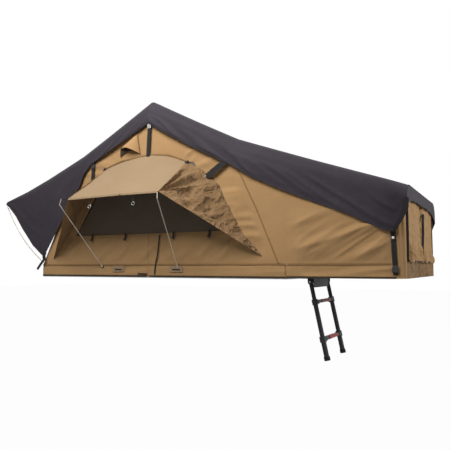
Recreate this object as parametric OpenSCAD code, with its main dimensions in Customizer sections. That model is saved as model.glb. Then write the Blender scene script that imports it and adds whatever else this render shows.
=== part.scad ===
// Soft-shell roof top tent with a fold-out half, a rain fly, a closed end porch and a ladder.
// Millimetres, +Z up. Origin: centre of the roof-bar bolt pattern, under the fixed half.

/* [Base] */
// Length of each base half along the fold direction
half_l = 1200; // [1150:5:1250]
// Width over the edge frames
base_w = 1380; // [1340:5:1420]
// Height of the edge frames
frame_h = 50; // [40:1:60]
// Width of the edge frame profile
frame_t = 30; // [24:1:36]
// Ledge that carries the floor panel inside the frame
ledge_w = 10; // [6:1:16]
// Thickness of the floor panels
panel_t = 20; // [12:1:26]
// Room around a floor panel in its frame
panel_gap = 0.5; // [0.2:0.1:1.5]
// Gap between the two frames at the fold
fold_gap = 2; // [1:0.5:6]
// Mattress height at its edge
mattress_h = 50; // [36:1:54]
// Extra height of the mattress in the middle
mattress_crown = 10; // [4:1:12]
// How far the mattress sides draw in
mattress_draw = 14; // [4:1:20]
// Room between the mattress and the edge frame
mattress_gap = 12; // [8:1:30]

/* [Roof mount] */
// Distance between the two mounting rails
rail_gap_x = 700; // [500:10:900]
// Distance between the bolt holes along a rail
bolt_gap_y = 900; // [700:10:1100]
// Width of a mounting rail
rail_w = 40; // [34:1:60]
// Wall of a mounting rail
rail_wall = 4; // [3:0.5:6]
// Bolt hole diameter for M8 bolts
bolt_hole_d = 9; // [8.4:0.1:10]

/* [Fold hinge and bows] */
// Height of the fold axis
fold_z = 150; // [144:1:160]
// Hinge pin diameter
pin_d = 10; // [8:1:12]
// Thickness of the hinge plates
plate_t = 4; // [3:0.5:5]
// Length of a hinge plate foot
plate_l = 150; // [110:5:200]
// Running room of the pins in their bores
pin_play = 0.1; // [0.05:0.01:0.15]
// Diameter of the bow tubes
bow_d = 20; // [16:1:21]
// Wall of the bow tubes
bow_wall = 2; // [1.5:0.5:3]
// Bend radius of the bow corners
bow_r = 90; // [70:5:110]
// Bow legs, distance of their centre line in from the base's side
bow_inset = 42; // [40:1:70]
// Width of a bow eye
eye_w = 14; // [10:1:18]
// Diameter of the bow pins
bow_pin_d = 8; // [6:1:9]
// Offset of the outer bows' pins from the fold axis, along the base
bow_pin_dx = 40; // [34:1:60]
// Offset of the outer bows' pins below the fold axis
bow_pin_dz = 22; // [22:1:26]
// Leg length of the middle bow
mid_bow_l = 1165; // [1100:5:1180]
// Leg length of the left bow
left_bow_l = 1149; // [1100:5:1155]
// Leg length of the right bow
right_bow_l = 1149; // [1100:5:1155]
// Lean of the left bow above the horizontal
left_bow_a = 53; // [45:1:60]
// Lean of the right bow above the horizontal
right_bow_a = 50; // [42:1:56]
// Height of the fly hoop above the middle bow
hoop_h = 125; // [90:5:135]
// Diameter of the fly hoop rod
hoop_d = 12; // [8:1:14]
// Distance of the hoop arms from the middle
hoop_y = 420; // [300:10:520]

/* [Cloth] */
// Thickness of the cloth panels
cloth_t = 3; // [2:0.5:4]
// Height of the skirt's lower hem
skirt_low = 8; // [4:1:16]
// Height of the skirt's upper seam
skirt_top = 112; // [100:1:116]
// Height of the skirt across the entrance end
sill_top = 84; // [60:1:90]
// Shoulder radius of the tent body
body_r = 80; // [60:5:100]
// Rise of the tent body over the bow tubes
body_rise = 16; // [14:1:24]
// Gap left in the body's ridge for the fly hoop
ridge_gap = 16; // [14:1:24]
// Bottom of the side window
window_z = 360; // [320:5:400]
// Top of the side window
window_top = 915; // [860:5:930]
// Window half length at the bottom
window_low_l = 800; // [700:5:840]
// Window half length at the top
window_top_l = 430; // [360:5:460]
// Thickness of the window mesh
mesh_t = 1; // [0.5:0.5:2]
// Reach of the vent hood out from the wall
vent_reach = 52; // [30:2:64]

/* [Straps] */
// Width of the webbing straps
strap_w = 24; // [20:1:30]
// Thickness of the webbing
strap_t = 2; // [1.5:0.5:3]
// Thickness of a strap buckle
buckle_t = 6; // [4:0.5:8]
// Height of a strap buckle
buckle_h = 42; // [34:1:50]
// How far a buckle stands past the webbing on each side
buckle_over = 5; // [3:0.5:7]
// Foot of the left strap, distance from the fold axis
left_strap_x = 668; // [640:2:690]
// Height of the left strap's foot
left_strap_z = 870; // [850:5:890]
// Length of the left strap
left_strap_l = 150; // [120:5:160]
// Lean of the left strap
left_strap_a = 16; // [10:1:22]
// Length of the corner strap
corner_strap_l = 290; // [240:5:310]

/* [Fly] */
// Distance of the fly's side from the tent wall
fly_room = 26; // [23:1:37]
// Shoulder radius of the fly
fly_r = 100; // [80:5:110]
// Rise of the fly over the left bow
fly_left_rise = 38; // [34:1:60]
// Rise of the fly over the right bow
fly_right_rise = 38; // [34:1:60]
// Reach of the rear hood past the left bow
hood_l = 990; // [900:10:1050]
// Height of the rear hood's tip
hood_z = 715; // [650:5:780]
// Overhang of the fly past the porch end
fly_over = 43; // [20:1:60]
// Height of the fly at the porch end
fly_end_z = 625; // [590:5:660]
// Depth of the fly's side at the ridge
side_ridge = 185; // [150:5:220]
// Depth of the fly's side at the left bow
side_left = 150; // [125:5:200]
// Depth of the fly's side at the right bow
side_right = 215; // [180:5:260]
// Depth of the fly's side at the porch end
side_end = 310; // [270:5:340]
// Height of the hood's lower corner
hood_low_z = 190; // [170:5:230]
// Extra depth of the fly's side where the hood begins
hood_step = 130; // [90:5:160]
// Depth of the hood's lip at its tip
hood_lip = 34; // [28:1:50]
// Rise of the hood's hem half way out
hood_rise = 205; // [180:5:240]
// Depth of the soft waves along the fly's hem
hem_wave = 5; // [0:1:8]

/* [Porch] */
// Reach of the porch past the base's end
porch_l = 785; // [740:5:800]
// Drop of the porch walls below the fly
porch_drop = 66; // [56:1:90]
// Height of the porch hem
porch_hem = 12; // [6:1:20]
// Top of the pleated band across the porch end
band_top = 125; // [100:5:150]
// Depth of the curtain folds
curtain_wave = 16; // [8:1:22]
// Folds in one curtain
curtain_folds = 4; // [3:1:6]
// Pleats in the lower band
band_pleats = 11; // [7:1:15]
// Opening between the two curtains
curtain_gap = 90; // [40:5:160]

/* [Side awning] */
// Reach of the awning's front edge out from the wall
awning_d = 362; // [320:2:400]
// Height of the awning's front edge
awning_z = 638; // [600:2:680]
// Height of the awning's seam above the fold
awning_top = 1005; // [980:5:1030]
// Drop of the awning's seam at its ends
awning_end_drop = 66; // [40:2:90]
// Left end of the awning's seam
awning_left_x = 489; // [440:5:520]
// Right end of the awning's seam
awning_right_x = 370; // [330:5:420]
// Left front corner of the awning
corner_left_x = 545; // [500:5:580]
// Right front corner of the awning
corner_right_x = 356; // [320:5:400]
// Slack of the side cheeks
cheek_slack = 26; // [0:2:40]
// Diameter of the spring-steel rods
rod_d = 7; // [5:0.5:8]
// Ball foot of a rod
rod_ball_d = 14; // [12:0.5:16]
// Left rod foot, distance from the fold
rod_left_x = 480; // [440:5:520]
// Right rod foot, distance from the fold
rod_right_x = 292; // [250:5:330]
// Height of the rod feet
rod_foot_z = 92; // [80:1:100]
// Length of the hook at a rod's top
rod_hook = 44; // [36:1:50]
// How far the left rod's knee stands past the awning's corner
rod_knee_out = 82; // [60:1:90]

/* [Hood and porch rods] */
// Distance of the hood rods in from the base's side
hood_rod_in = 8; // [7:0.5:9]
// Distance of the porch rods in from the base's side
porch_rod_in = 22; // [21:0.5:24]
// Eye of a rod
rod_eye_d = 18; // [15:0.5:20]
// Width of a rod eye
rod_eye_w = 6; // [5:0.5:7]
// Pin of a rod bracket
rod_pin_d = 6; // [5:0.5:7]
// Distance of the rod pins from the base end
rod_pin_inset = 25; // [20:1:40]
// Height of the hood rod pins
hood_pin_z = 110; // [104:1:112]
// Height of the porch rod pins
porch_pin_z = 100; // [94:1:104]
// Bow of the hood rods off their chord
hood_rod_bow = 54; // [30:2:64]
// Distance of the porch rods' tips from the porch end
porch_tip_in = 45; // [36:1:60]
// Room between a rod and the ears of its bracket
rod_room = 0.5; // [0.3:0.1:1]
// Thickness of a bracket ear
ear_t = 2.6; // [2:0.2:3]

/* [Ladder] */
// Spacing of the ladder rails
ladder_w = 420; // [380:5:460]
// Lean of the ladder from upright
ladder_a = 12; // [8:1:18]
// Ladder pin, distance past the base's end
ladder_out = 12; // [0:1:25]
// Length of the ladder bracket's plate
ladder_plate_l = 80; // [70:1:100]
// Width of a ladder bracket ear
ladder_ear_w = 36; // [30:1:44]
// Ladder pin below the base
ladder_drop = 30; // [26:1:36]
// Outer diameter of the top rails
rail_top_d = 32; // [30:0.5:34]
// Wall of the ladder tubes
tube_wall = 1.5; // [1.2:0.1:1.8]
// Sliding room between ladder tubes
tube_play = 0.3; // [0.2:0.05:0.5]
// First rung below the ladder pin
rung_1 = 158; // [145:1:180]
// Second rung below the ladder pin
rung_2 = 446; // [430:1:470]
// Foot of the ladder below the pin
ladder_foot = 606; // [580:2:640]
// Overlap of one tube in the next
tube_lap = 60; // [50:1:75]
// Height of a rung collar
collar_h = 44; // [36:1:52]
// Wall of a rung collar
collar_wall = 6; // [4:0.5:8]
// Depth of a rung
rung_w = 38; // [32:1:44]
// Height of a rung
rung_h = 24; // [20:1:28]
// Length of the red tread
tread_l = 200; // [150:5:240]
// Thickness of the red tread
tread_t = 3; // [2:0.5:4]
// Length of a release latch
latch_l = 30; // [24:1:36]
// Travel of a release latch
latch_travel = 12; // [8:1:14]
// Room around a release latch
latch_play = 0.4; // [0.3:0.05:0.6]

/* [Hidden] */
$fn = 48;
fold_x = half_l / 2;
half_w = base_w / 2;
wall_y = half_w + cloth_t;
bow_y = half_w - bow_inset;
hood_rod_y = half_w - hood_rod_in;
porch_rod_y = half_w - porch_rod_in;
fly_y = wall_y + fly_room;
ladder_x = half_l + ladder_out;
porch_x = half_l + porch_l;
fly_end_x = porch_x + fly_over;
frame_l = half_l - fold_gap / 2;
plate_y = bow_y + bow_d / 2 + 1;
plate_2_y = plate_y + plate_t + 0.5;
pin_end_y = plate_2_y + plate_t;
bow_pin_z = fold_z - bow_pin_dz;
bow_bore = bow_pin_d + 2 * pin_play;
left_top = [-bow_pin_dx - left_bow_l * cos(left_bow_a), bow_pin_z + left_bow_l * sin(left_bow_a)];
right_top = [bow_pin_dx + right_bow_l * cos(right_bow_a), bow_pin_z + right_bow_l * sin(right_bow_a)];
mid_top_z = fold_z + mid_bow_l;
// Shoulder radius where a roof sheet ends at the base, and its height over the skirt there
hem_r = 8;
hem_lift = 26;
// Cloth lies this far off the cloth it is sewn to
seam_room = 0.4;
over_bow = bow_d / 2 + body_rise;
body_ridge = mid_top_z + over_bow;
body_left = [left_top[0] - over_bow / 2, left_top[1] + over_bow];
body_right = [right_top[0] + over_bow / 2, right_top[1] + over_bow];
fly_ridge = mid_top_z + hoop_h + 0.6 * hoop_d + seam_room + cloth_t;
fly_left_p = [body_left[0], left_top[1] + bow_d / 2 + fly_left_rise];
fly_right_p = [body_right[0], right_top[1] + bow_d / 2 + fly_right_rise];
hood_x = body_left[0] - hood_l;
hood_pin_x = -half_l + rod_pin_inset;
porch_pin_x = half_l - rod_pin_inset;
mid_tube_d = rail_top_d + 2 * (tube_wall + tube_play);
low_tube_d = mid_tube_d + 2 * (tube_wall + tube_play);
seam_y = -wall_y - seam_room;
front_y = -wall_y - awning_d;
// Where the awning's cheeks are sewn to the wall, below the ends of its top seam
cheek_left_foot = [-1060, 150];
cheek_right_bend = [700, 665];
cheek_right_foot = [1025, 160];
// Bracket plates for the rods and their ball seats
seat_w = 26;
canvas = "#ad8b5f";
fly_grey = "#4a444a";
steel = "#cfc3b2";
alloy = "#b9bbbd";
black = "#1d1a1c";
red = "#a8352f";

// Everything is drawn with x counted from the fold axis, then moved to the origin
module from_fold() { translate([fold_x, 0, 0]) children(); }
module both_sides() {
    children();
    mirror([0, 1, 0]) children();
}
module y_pin(x, z, y0, y1, d) {
    translate([x, y0, z]) rotate([-90, 0, 0]) cylinder(d = d, h = y1 - y0);
}

// Points halfway and so on between two rows, and a row list made finer
function mix(a, b, t) = a + (b - a) * t;
function finer(rows, n) = concat(
    [for (k = [0 : len(rows) - 2]) for (i = [0 : n - 1]) mix(rows[k], rows[k + 1], i / n)],
    [rows[len(rows) - 1]]);

// A closed sheet between two grids of points
function halves(q) = [[q[0], q[1], q[2]], [q[0], q[2], q[3]]];
module sheet(outer, inner) {
    nu = len(outer);
    nv = len(outer[0]);
    under = nu * nv;
    function o(i, j) = i * nv + j;
    function u(i, j) = under + i * nv + j;
    skins = [for (i = [0 : nu - 2]) for (j = [0 : nv - 2]) each concat(
        halves([o(i, j), o(i, j + 1), o(i + 1, j + 1), o(i + 1, j)]),
        halves([u(i, j), u(i + 1, j), u(i + 1, j + 1), u(i, j + 1)]))];
    long_rims = [for (i = [0 : nu - 2]) each concat(
        halves([o(i, 0), o(i + 1, 0), u(i + 1, 0), u(i, 0)]),
        halves([o(i + 1, nv - 1), o(i, nv - 1), u(i, nv - 1), u(i + 1, nv - 1)]))];
    end_rims = [for (j = [0 : nv - 2]) each concat(
        halves([o(0, j + 1), o(0, j), u(0, j), u(0, j + 1)]),
        halves([o(nu - 1, j), o(nu - 1, j + 1), u(nu - 1, j + 1), u(nu - 1, j)]))];
    polyhedron([for (r = outer) each r, for (r = inner) each r], concat(skins, long_rims, end_rims));
}

// Cross-section of a roof: up one side, round the shoulder, over, and down the other side
function shoulder(x, top, r, y) =
    [for (a = [90 : -18 : 0]) [x, -(y - r) - r * sin(a), top - r + r * cos(a)]];
function mirrored(side) =
    [for (k = [len(side) - 1 : -1 : 0]) [side[k][0], -side[k][1], side[k][2]]];
function roof_row(x, top, r, y) = let (s = shoulder(x, top, r, y)) concat(s, mirrored(s));

// Base halves
module edge_frame() {
    difference() {
        translate([-half_l, -half_w, 0]) cube([frame_l, base_w, frame_h]);
        translate([-half_l + frame_t, -half_w + frame_t, frame_h - panel_t])
            cube([frame_l - 2 * frame_t, base_w - 2 * frame_t, panel_t + 1]);
        translate([-half_l + frame_t + ledge_w, -half_w + frame_t + ledge_w, -1])
            cube([frame_l - 2 * (frame_t + ledge_w), base_w - 2 * (frame_t + ledge_w), frame_h]);
    }
}
module floor_panel() {
    inset = frame_t + panel_gap;
    translate([-half_l + inset, -half_w + inset, frame_h - panel_t])
        cube([frame_l - 2 * inset, base_w - 2 * inset, panel_t]);
}
module mattress() {
    l = frame_l - frame_t - 2 * mattress_gap;
    w = 2 * (bow_y - bow_d / 2) - 8;
    x0 = -half_l + frame_t + mattress_gap;
    n = 14;
    // Crown over the plan, and sides that draw in between the corners
    function draw(t) = mattress_draw * sin(180 * t);
    function px(s, t) = x0 + mix(draw(t), l - draw(t), s);
    function py(s, t) = mix(draw(s) - w / 2, w / 2 - draw(s), t);
    function lift(s, t) = mattress_crown * pow(sin(180 * s) * sin(180 * t), 0.5);
    top = [for (i = [0 : n]) [for (j = [0 : n])
        [px(i / n, j / n), py(i / n, j / n), frame_h + mattress_h + lift(i / n, j / n)]]];
    low = [for (i = [0 : n]) [for (j = [0 : n]) [px(i / n, j / n), py(i / n, j / n), frame_h]]];
    sheet(top, low);
}
module hinge_plates(y) {
    low_h = fold_z - frame_h - bow_pin_dz / 2;
    foot_end = half_w - 4;
    both_sides() difference() {
        union() {
            translate([-plate_l - 6, y, frame_h]) cube([plate_l, plate_t, low_h]);
            translate([-bow_pin_dx - 14, y, frame_h]) cube([bow_pin_dx + 14, plate_t, fold_z - frame_h]);
            y_pin(0, fold_z, y, y + plate_t, 2 * pin_d + 8);
            translate([-plate_l - 6, y, frame_h]) cube([plate_l - 20, foot_end - y, plate_t]);
        }
        y_pin(0, fold_z, y - 1, y + plate_t + 1, pin_d + 2 * pin_play);
        y_pin(-bow_pin_dx, bow_pin_z, y - 1, y + plate_t + 1, bow_bore);
        for (x = [-plate_l + 14, -plate_l / 2])
            translate([x, mix(y + plate_t, foot_end, 0.5), frame_h - 1]) cylinder(d = 6, h = plate_t + 2);
    }
}
module bow_pins(y) {
    head_y = bow_y - bow_d / 2 - 1;
    both_sides() {
        y_pin(-bow_pin_dx, bow_pin_z, head_y, y + plate_t, bow_pin_d);
        y_pin(-bow_pin_dx, bow_pin_z, head_y - 5, head_y, bow_pin_d + 6);
    }
}
module skirt(sill) {
    difference() {
        translate([-half_l - cloth_t, -wall_y, skirt_low])
            cube([frame_l + cloth_t, 2 * wall_y, skirt_top - skirt_low]);
        translate([-half_l, -half_w, skirt_low - 1]) cube([half_l + 1, base_w, skirt_top]);
        translate([-half_l - cloth_t - 1, -half_w, sill])
            cube([cloth_t + 2, base_w, skirt_top - sill + 1]);
    }
}
// Two ears and a pin for the eye of a hood or porch rod
module rod_bracket(x, z, rod_y) {
    outer_y = rod_y + rod_d / 2 + rod_room;
    inner_y = rod_y - rod_d / 2 - rod_room - ear_t;
    both_sides() {
        translate([x - rod_eye_d / 2, half_w - frame_t, frame_h])
            cube([rod_eye_d, frame_t - 2, plate_t]);
        for (y = [inner_y, outer_y])
            translate([x - rod_eye_d / 2, y, frame_h]) cube([rod_eye_d, ear_t, z - frame_h + rod_pin_d]);
        y_pin(x, z, inner_y, outer_y + ear_t, rod_pin_d);
    }
}
// Dished seat on the skirt for the ball foot of an awning rod
module rod_seat(x) {
    y = wall_y + rod_ball_d / 2 + 2;
    seat_t = y - wall_y - rod_d / 2 - 1;
    difference() {
        translate([x - seat_w / 2, -wall_y - seat_t, rod_foot_z - seat_w / 2])
            cube([seat_w, seat_t, seat_w]);
        translate([x, -y, rod_foot_z]) sphere(d = rod_ball_d + 0.6);
    }
}

module fixed_frame() { color(alloy) from_fold() edge_frame(); }
module fixed_panel() { color("#8d8f90") from_fold() floor_panel(); }
module mounting_rails() {
    h = frame_h - panel_t;
    l = base_w - 2 * (frame_t + ledge_w);
    color(alloy) for (s = [-1, 1]) translate([s * rail_gap_x / 2, 0, 0]) difference() {
        translate([-rail_w / 2, -l / 2, 0]) cube([rail_w, l, h]);
        translate([-rail_w / 2 + rail_wall, -l / 2 - 1, rail_wall])
            cube([rail_w - 2 * rail_wall, l + 2, h - 2 * rail_wall]);
        for (y = [-1, 1])
            translate([0, y * bolt_gap_y / 2, -1]) cylinder(d = bolt_hole_d, h = rail_wall + 2);
    }
}
module fixed_mattress() { color("#cfc8bb") from_fold() mattress(); }
module fixed_hinge_plates() { color(alloy) from_fold() hinge_plates(plate_2_y); }
module hinge_pins() {
    head_y = bow_y - bow_d / 2 - 1;
    color(steel) from_fold() both_sides() {
        y_pin(0, fold_z, head_y, pin_end_y + 1, pin_d);
        y_pin(0, fold_z, head_y - 5, head_y, pin_d + 8);
        y_pin(0, fold_z, pin_end_y + 1, pin_end_y + 5, pin_d + 8);
    }
}
module left_bow_pins() { color(steel) from_fold() bow_pins(plate_2_y); }
module fixed_rod_brackets() {
    color(black) from_fold() {
        rod_bracket(hood_pin_x, hood_pin_z, hood_rod_y);
        rod_seat(-rod_left_x);
    }
}
module fixed_skirt() { color(canvas) from_fold() skirt(skirt_top); }

// Tent body: roof sheets with their end walls, and the flat side walls
module body_roof(side, top) {
    foot = [side * half_l, skirt_top + hem_r, hem_r];
    knee = [top[0], top[1], body_r];
    rows = [
        mix(foot, knee, hem_lift / (top[1] - skirt_top)), knee,
        [side * ridge_gap / 2, body_ridge, body_r]
    ];
    fine = finer(side < 0 ? rows : [rows[2], rows[1], rows[0]], 4);
    sheet([for (r = fine) roof_row(r[0], r[1], r[2], wall_y)],
        [for (r = fine) roof_row(r[0], r[1] - cloth_t, r[2] - cloth_t, half_w)]);
}
function window_outline(side) = [
    [side * ridge_gap / 2, window_z], [side * window_low_l, window_z],
    [side * window_top_l, window_top], [side * ridge_gap / 2, window_top]];
function wall_outline(side, top) = [
    [side * ridge_gap / 2, skirt_top], [side * ridge_gap / 2, body_ridge - body_r],
    [top[0], top[1] - body_r], [side * half_l, skirt_top]];
module upright(y0, y1) { translate([0, -y0, 0]) rotate([90, 0, 0]) linear_extrude(y1 - y0) children(); }
module side_wall(side, top) {
    upright(half_w, wall_y) difference() {
        polygon(wall_outline(side, top));
        polygon(window_outline(side));
    }
    mirror([0, 1, 0]) upright(half_w, wall_y) polygon(wall_outline(side, top));
}
module mesh_panel(side) {
    upright(half_w + mesh_t, half_w + 2 * mesh_t) polygon(window_outline(side));
}
module left_roof() { color(canvas) from_fold() body_roof(-1, body_left); }
module left_walls() { color(canvas) from_fold() side_wall(-1, body_left); }
module left_mesh() { color("#2c2723") from_fold() mesh_panel(-1); }
module vent_hood() {
    // Small hood over a vent, standing out further towards its lower edge
    top = [-175, 1150];
    low_left = [-300, 1075];
    low_right = [-105, 1035];
    n = 6;
    m = 8;
    function spot(i, j) = let (p = mix(mix(top, low_left, i / n), mix(top, low_right, i / n), j / m))
        [p[0], seam_y - vent_reach * (i / n) * sin(180 * j / m), p[1]];
    grid = [for (i = [1 : n]) [for (j = [0 : m]) spot(i, j)]];
    color(canvas) from_fold() sheet(
        [for (r = grid) [for (p = r) p - [0, cloth_t, 0]]], grid);
}

// Fly: rows are x, top, shoulder radius, lower edge
function fly_row(r, y) = let (wave = hem_wave * sin(r[0] * 2), s = shoulder(r[0], r[1], r[2], y),
        deep = r[1] - r[2] - r[3], side = concat(
        [[r[0], -y - wave, r[3]], [r[0], -y - wave * 0.4, r[3] + deep * 0.5]], s))
    concat(side, mirrored(side));
module fly_sheet(rows, n) {
    fine = finer(rows, n);
    sheet([for (r = fine) fly_row(r, fly_y)],
        [for (r = fine) fly_row([r[0], r[1] - cloth_t, r[2] - cloth_t, r[3]], fly_y - cloth_t)]);
}
fly_ridge_row = [0, fly_ridge, fly_r, fly_ridge - side_ridge];
fly_left_row = [fly_left_p[0], fly_left_p[1], fly_r, fly_left_p[1] - side_left - hood_step];
fly_left_edge = mix(fly_ridge_row, fly_left_row + [0, 0, 0, hood_step], 0.85);
fly_right_row = [fly_right_p[0], fly_right_p[1], fly_r, fly_right_p[1] - side_right];
fly_end_row = [fly_end_x, fly_end_z, fly_r, fly_end_z - side_end];
fly_base_row = mix(fly_right_row, fly_end_row, (half_l - fly_right_p[0]) / (fly_end_x - fly_right_p[0]));
hood_corner_x = -half_l + 32;
hood_tip_r = 24;
hood_mid_r = 80;
function hood_row(x, low, r) = let (t = (x - fly_left_p[0]) / (hood_x - fly_left_p[0]))
    [x, mix(fly_left_p[1], hood_z, t), r, low];
module fly_left() {
    color(fly_grey) from_fold() fly_sheet([fly_left_row, fly_left_edge, fly_ridge_row], 6);
}
module fly_right() {
    color(fly_grey) from_fold() fly_sheet([fly_ridge_row, fly_right_row, fly_base_row], 6);
}
module fly_hood() {
    middle_x = mix(hood_corner_x, hood_x, 0.5);
    color(fly_grey) from_fold() fly_sheet([
        hood_row(hood_x, hood_z - hood_lip, hood_tip_r),
        hood_row(middle_x, hood_low_z + hood_rise, hood_mid_r),
        hood_row(hood_corner_x, hood_low_z, fly_r),
        fly_left_row], 4);
}
// Webbing on the near wall with a buckle part of the way up
module strap(x, z, l, lean, buckle_at) {
    translate([x, -wall_y - strap_t, z]) rotate([0, lean, 0]) {
        cube([strap_w, strap_t, l]);
        translate([-buckle_over, -buckle_t, buckle_at])
            cube([strap_w + 2 * buckle_over, buckle_t, buckle_h]);
    }
}
module left_straps() {
    low = awning_top + 8;
    high = body_ridge - body_r - 2;
    color(black) from_fold() {
        strap(-ridge_gap / 2 - strap_w - buckle_over, low, high - low, 0, 0.72 * (high - low));
        strap(-left_strap_x, left_strap_z, left_strap_l, left_strap_a, left_strap_l * 0.4);
    }
}

// The fold-out half mirrors the fixed half's base
module turned() { mirror([1, 0, 0]) children(); }
module fold_frame() { color(alloy) from_fold() turned() edge_frame(); }
module fold_panel() { color("#8d8f90") from_fold() turned() floor_panel(); }
module fold_mattress() { color("#cfc8bb") from_fold() turned() mattress(); }
module fold_hinge_plates() { color(alloy) from_fold() turned() hinge_plates(plate_y); }
module right_bow_pins() { color(steel) from_fold() turned() bow_pins(plate_y); }
module fold_rod_brackets() {
    color(black) from_fold() {
        rod_bracket(porch_pin_x, porch_pin_z, porch_rod_y);
        rod_seat(rod_right_x);
    }
}
module fold_skirt() { color(canvas) from_fold() turned() skirt(sill_top); }
module right_roof() { color(canvas) from_fold() body_roof(1, body_right); }
module right_walls() { color(canvas) from_fold() side_wall(1, body_right); }
module right_mesh() { color("#2c2723") from_fold() mesh_panel(1); }

// Bows: bent tubes with an eye at each foot
module ring_2d(d, wall) {
    difference() {
        circle(d = d);
        circle(d = d - 2 * wall);
    }
}
module bow(l) {
    start = bow_pin_d / 2 + 4;
    difference() {
        union() {
            both_sides() {
                translate([0, bow_y, start]) linear_extrude(l - bow_r - start) ring_2d(bow_d, bow_wall);
                translate([0, bow_y - bow_r, l - bow_r]) rotate([90, 0, 90]) rotate_extrude(angle = 90)
                    translate([bow_r, 0]) ring_2d(bow_d, bow_wall);
                y_pin(0, 0, bow_y - eye_w / 2, bow_y + eye_w / 2, 2 * start + 4);
            }
            translate([0, -bow_y + bow_r, l]) rotate([-90, 0, 0])
                linear_extrude(2 * (bow_y - bow_r)) ring_2d(bow_d, bow_wall);
        }
        both_sides() y_pin(0, 0, bow_y - eye_w, bow_y + eye_w, bow_bore);
    }
}
module left_bow() {
    color(alloy) from_fold() translate([-bow_pin_dx, 0, bow_pin_z])
        rotate([0, left_bow_a - 90, 0]) bow(left_bow_l);
}
module middle_bow() {
    color(alloy) from_fold() translate([0, 0, fold_z]) difference() {
        bow(mid_bow_l);
        both_sides() y_pin(0, 0, bow_y - eye_w, bow_y + eye_w, pin_d + 2 * pin_play);
    }
}
module right_bow() {
    color(alloy) from_fold() translate([bow_pin_dx, 0, bow_pin_z])
        rotate([0, 90 - right_bow_a, 0]) bow(right_bow_l);
}
module fly_hoop() {
    ring = bow_d + 10;
    color(alloy) from_fold() translate([0, 0, mid_top_z]) {
        both_sides() difference() {
            union() {
                y_pin(0, 0, hoop_y - 10, hoop_y + 10, ring);
                translate([0, hoop_y, bow_d / 2 + 2]) cylinder(d = hoop_d, h = hoop_h - bow_d / 2 - 2);
            }
            y_pin(0, 0, hoop_y - 20, hoop_y + 20, bow_d + 2 * pin_play);
        }
        y_pin(0, hoop_h, -bow_y + bow_r, bow_y - bow_r, hoop_d);
    }
}

// Thin rods
module rod_run(points, d) {
    for (k = [0 : len(points) - 2]) {
        v = points[k + 1] - points[k];
        l = norm(v);
        translate(points[k]) rotate([0, acos(v[2] / l), atan2(v[1], v[0])]) cylinder(d = d, h = l);
        translate(points[k + 1]) sphere(d = 1.08 * d);
    }
}
// A rod on each side, drawn from its pin, with an eye round the pin
module eyed_rods(x, z, y) {
    both_sides() difference() {
        translate([x, y, z]) union() {
            children();
            y_pin(0, 0, -rod_eye_w / 2, rod_eye_w / 2, rod_eye_d);
        }
        y_pin(x, z, y - rod_eye_w, y + rod_eye_w, rod_pin_d + 2 * pin_play);
    }
}
// One rod bowed off its chord, from the pin out to the hood's tip
module bowed_rod(chord, bow, d) {
    r = (chord * chord / 4 + bow * bow) / (2 * bow);
    half_a = asin(chord / 2 / r);
    rotate([90, 0, 0]) translate([chord / 2, r - bow, 0]) rotate([0, 0, -90 - half_a])
        rotate_extrude(angle = 2 * half_a) translate([r, 0]) circle(d = d);
}
module hood_rods() {
    tip = [hood_x + 12 - hood_pin_x, hood_z - hood_lip - 14 - hood_pin_z];
    color(steel) from_fold() eyed_rods(hood_pin_x, hood_pin_z, hood_rod_y)
        rotate([0, -atan2(tip[1], tip[0]), 0]) mirror([0, 0, 1])
            bowed_rod(norm(tip), hood_rod_bow, rod_d);
}
module porch_rods() {
    tip = [porch_x - porch_tip_in - porch_pin_x, 0, fly_end_z - porch_drop - 20 - porch_pin_z];
    color(steel) from_fold() eyed_rods(porch_pin_x, porch_pin_z, porch_rod_y)
        rod_run([tip * 0.008, tip], rod_d);
}

// Porch
module fly_porch() {
    color(fly_grey) from_fold() {
        fly_sheet([fly_base_row, fly_end_row], 6);
        end_flap();
    }
}
// The fly's end hangs over the porch face, cut out in an arch
module end_flap() {
    inset = cloth_t + seam_room;
    y1 = fly_y - inset;
    r = fly_r - inset;
    low = fly_end_z - side_end;
    arch_top = fly_end_z - 62;
    arch_y = y1 - 26;
    arch = [for (k = [12 : -1 : 0])
        [mix(-arch_y, arch_y, k / 12), mix(low, arch_top, pow(sin(15 * k), 0.45))]];
    top = [for (k = [0 : 5]) [-(y1 - r) - r * cos(18 * k), fly_end_z - fly_r + r * sin(18 * k)]];
    far_top = [for (k = [5 : -1 : 0]) [-top[k][0], top[k][1]]];
    outline = concat([[-y1, low]], top, far_top, [[y1, low]], arch);
    translate([fly_end_x - cloth_t, 0, 0]) rotate([90, 0, 90]) linear_extrude(cloth_t) polygon(outline);
}
function fly_top_at(x) = mix(fly_right_p[1], fly_end_z, (x - fly_right_p[0]) / (fly_end_x - fly_right_p[0]));
module porch_walls() {
    seam = 18;
    x0 = half_l + cloth_t;
    x1 = body_right[0] + seam;
    outline = [
        [x0, porch_hem], [x0, sill_top], [half_l + seam, skirt_top],
        [x1, body_right[1] - body_r], [x1, fly_top_at(x1) - porch_drop],
        [porch_x, fly_top_at(porch_x) - porch_drop], [porch_x, porch_hem]
    ];
    color(canvas) from_fold() both_sides() upright(half_w, wall_y) polygon(outline);
}
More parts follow.
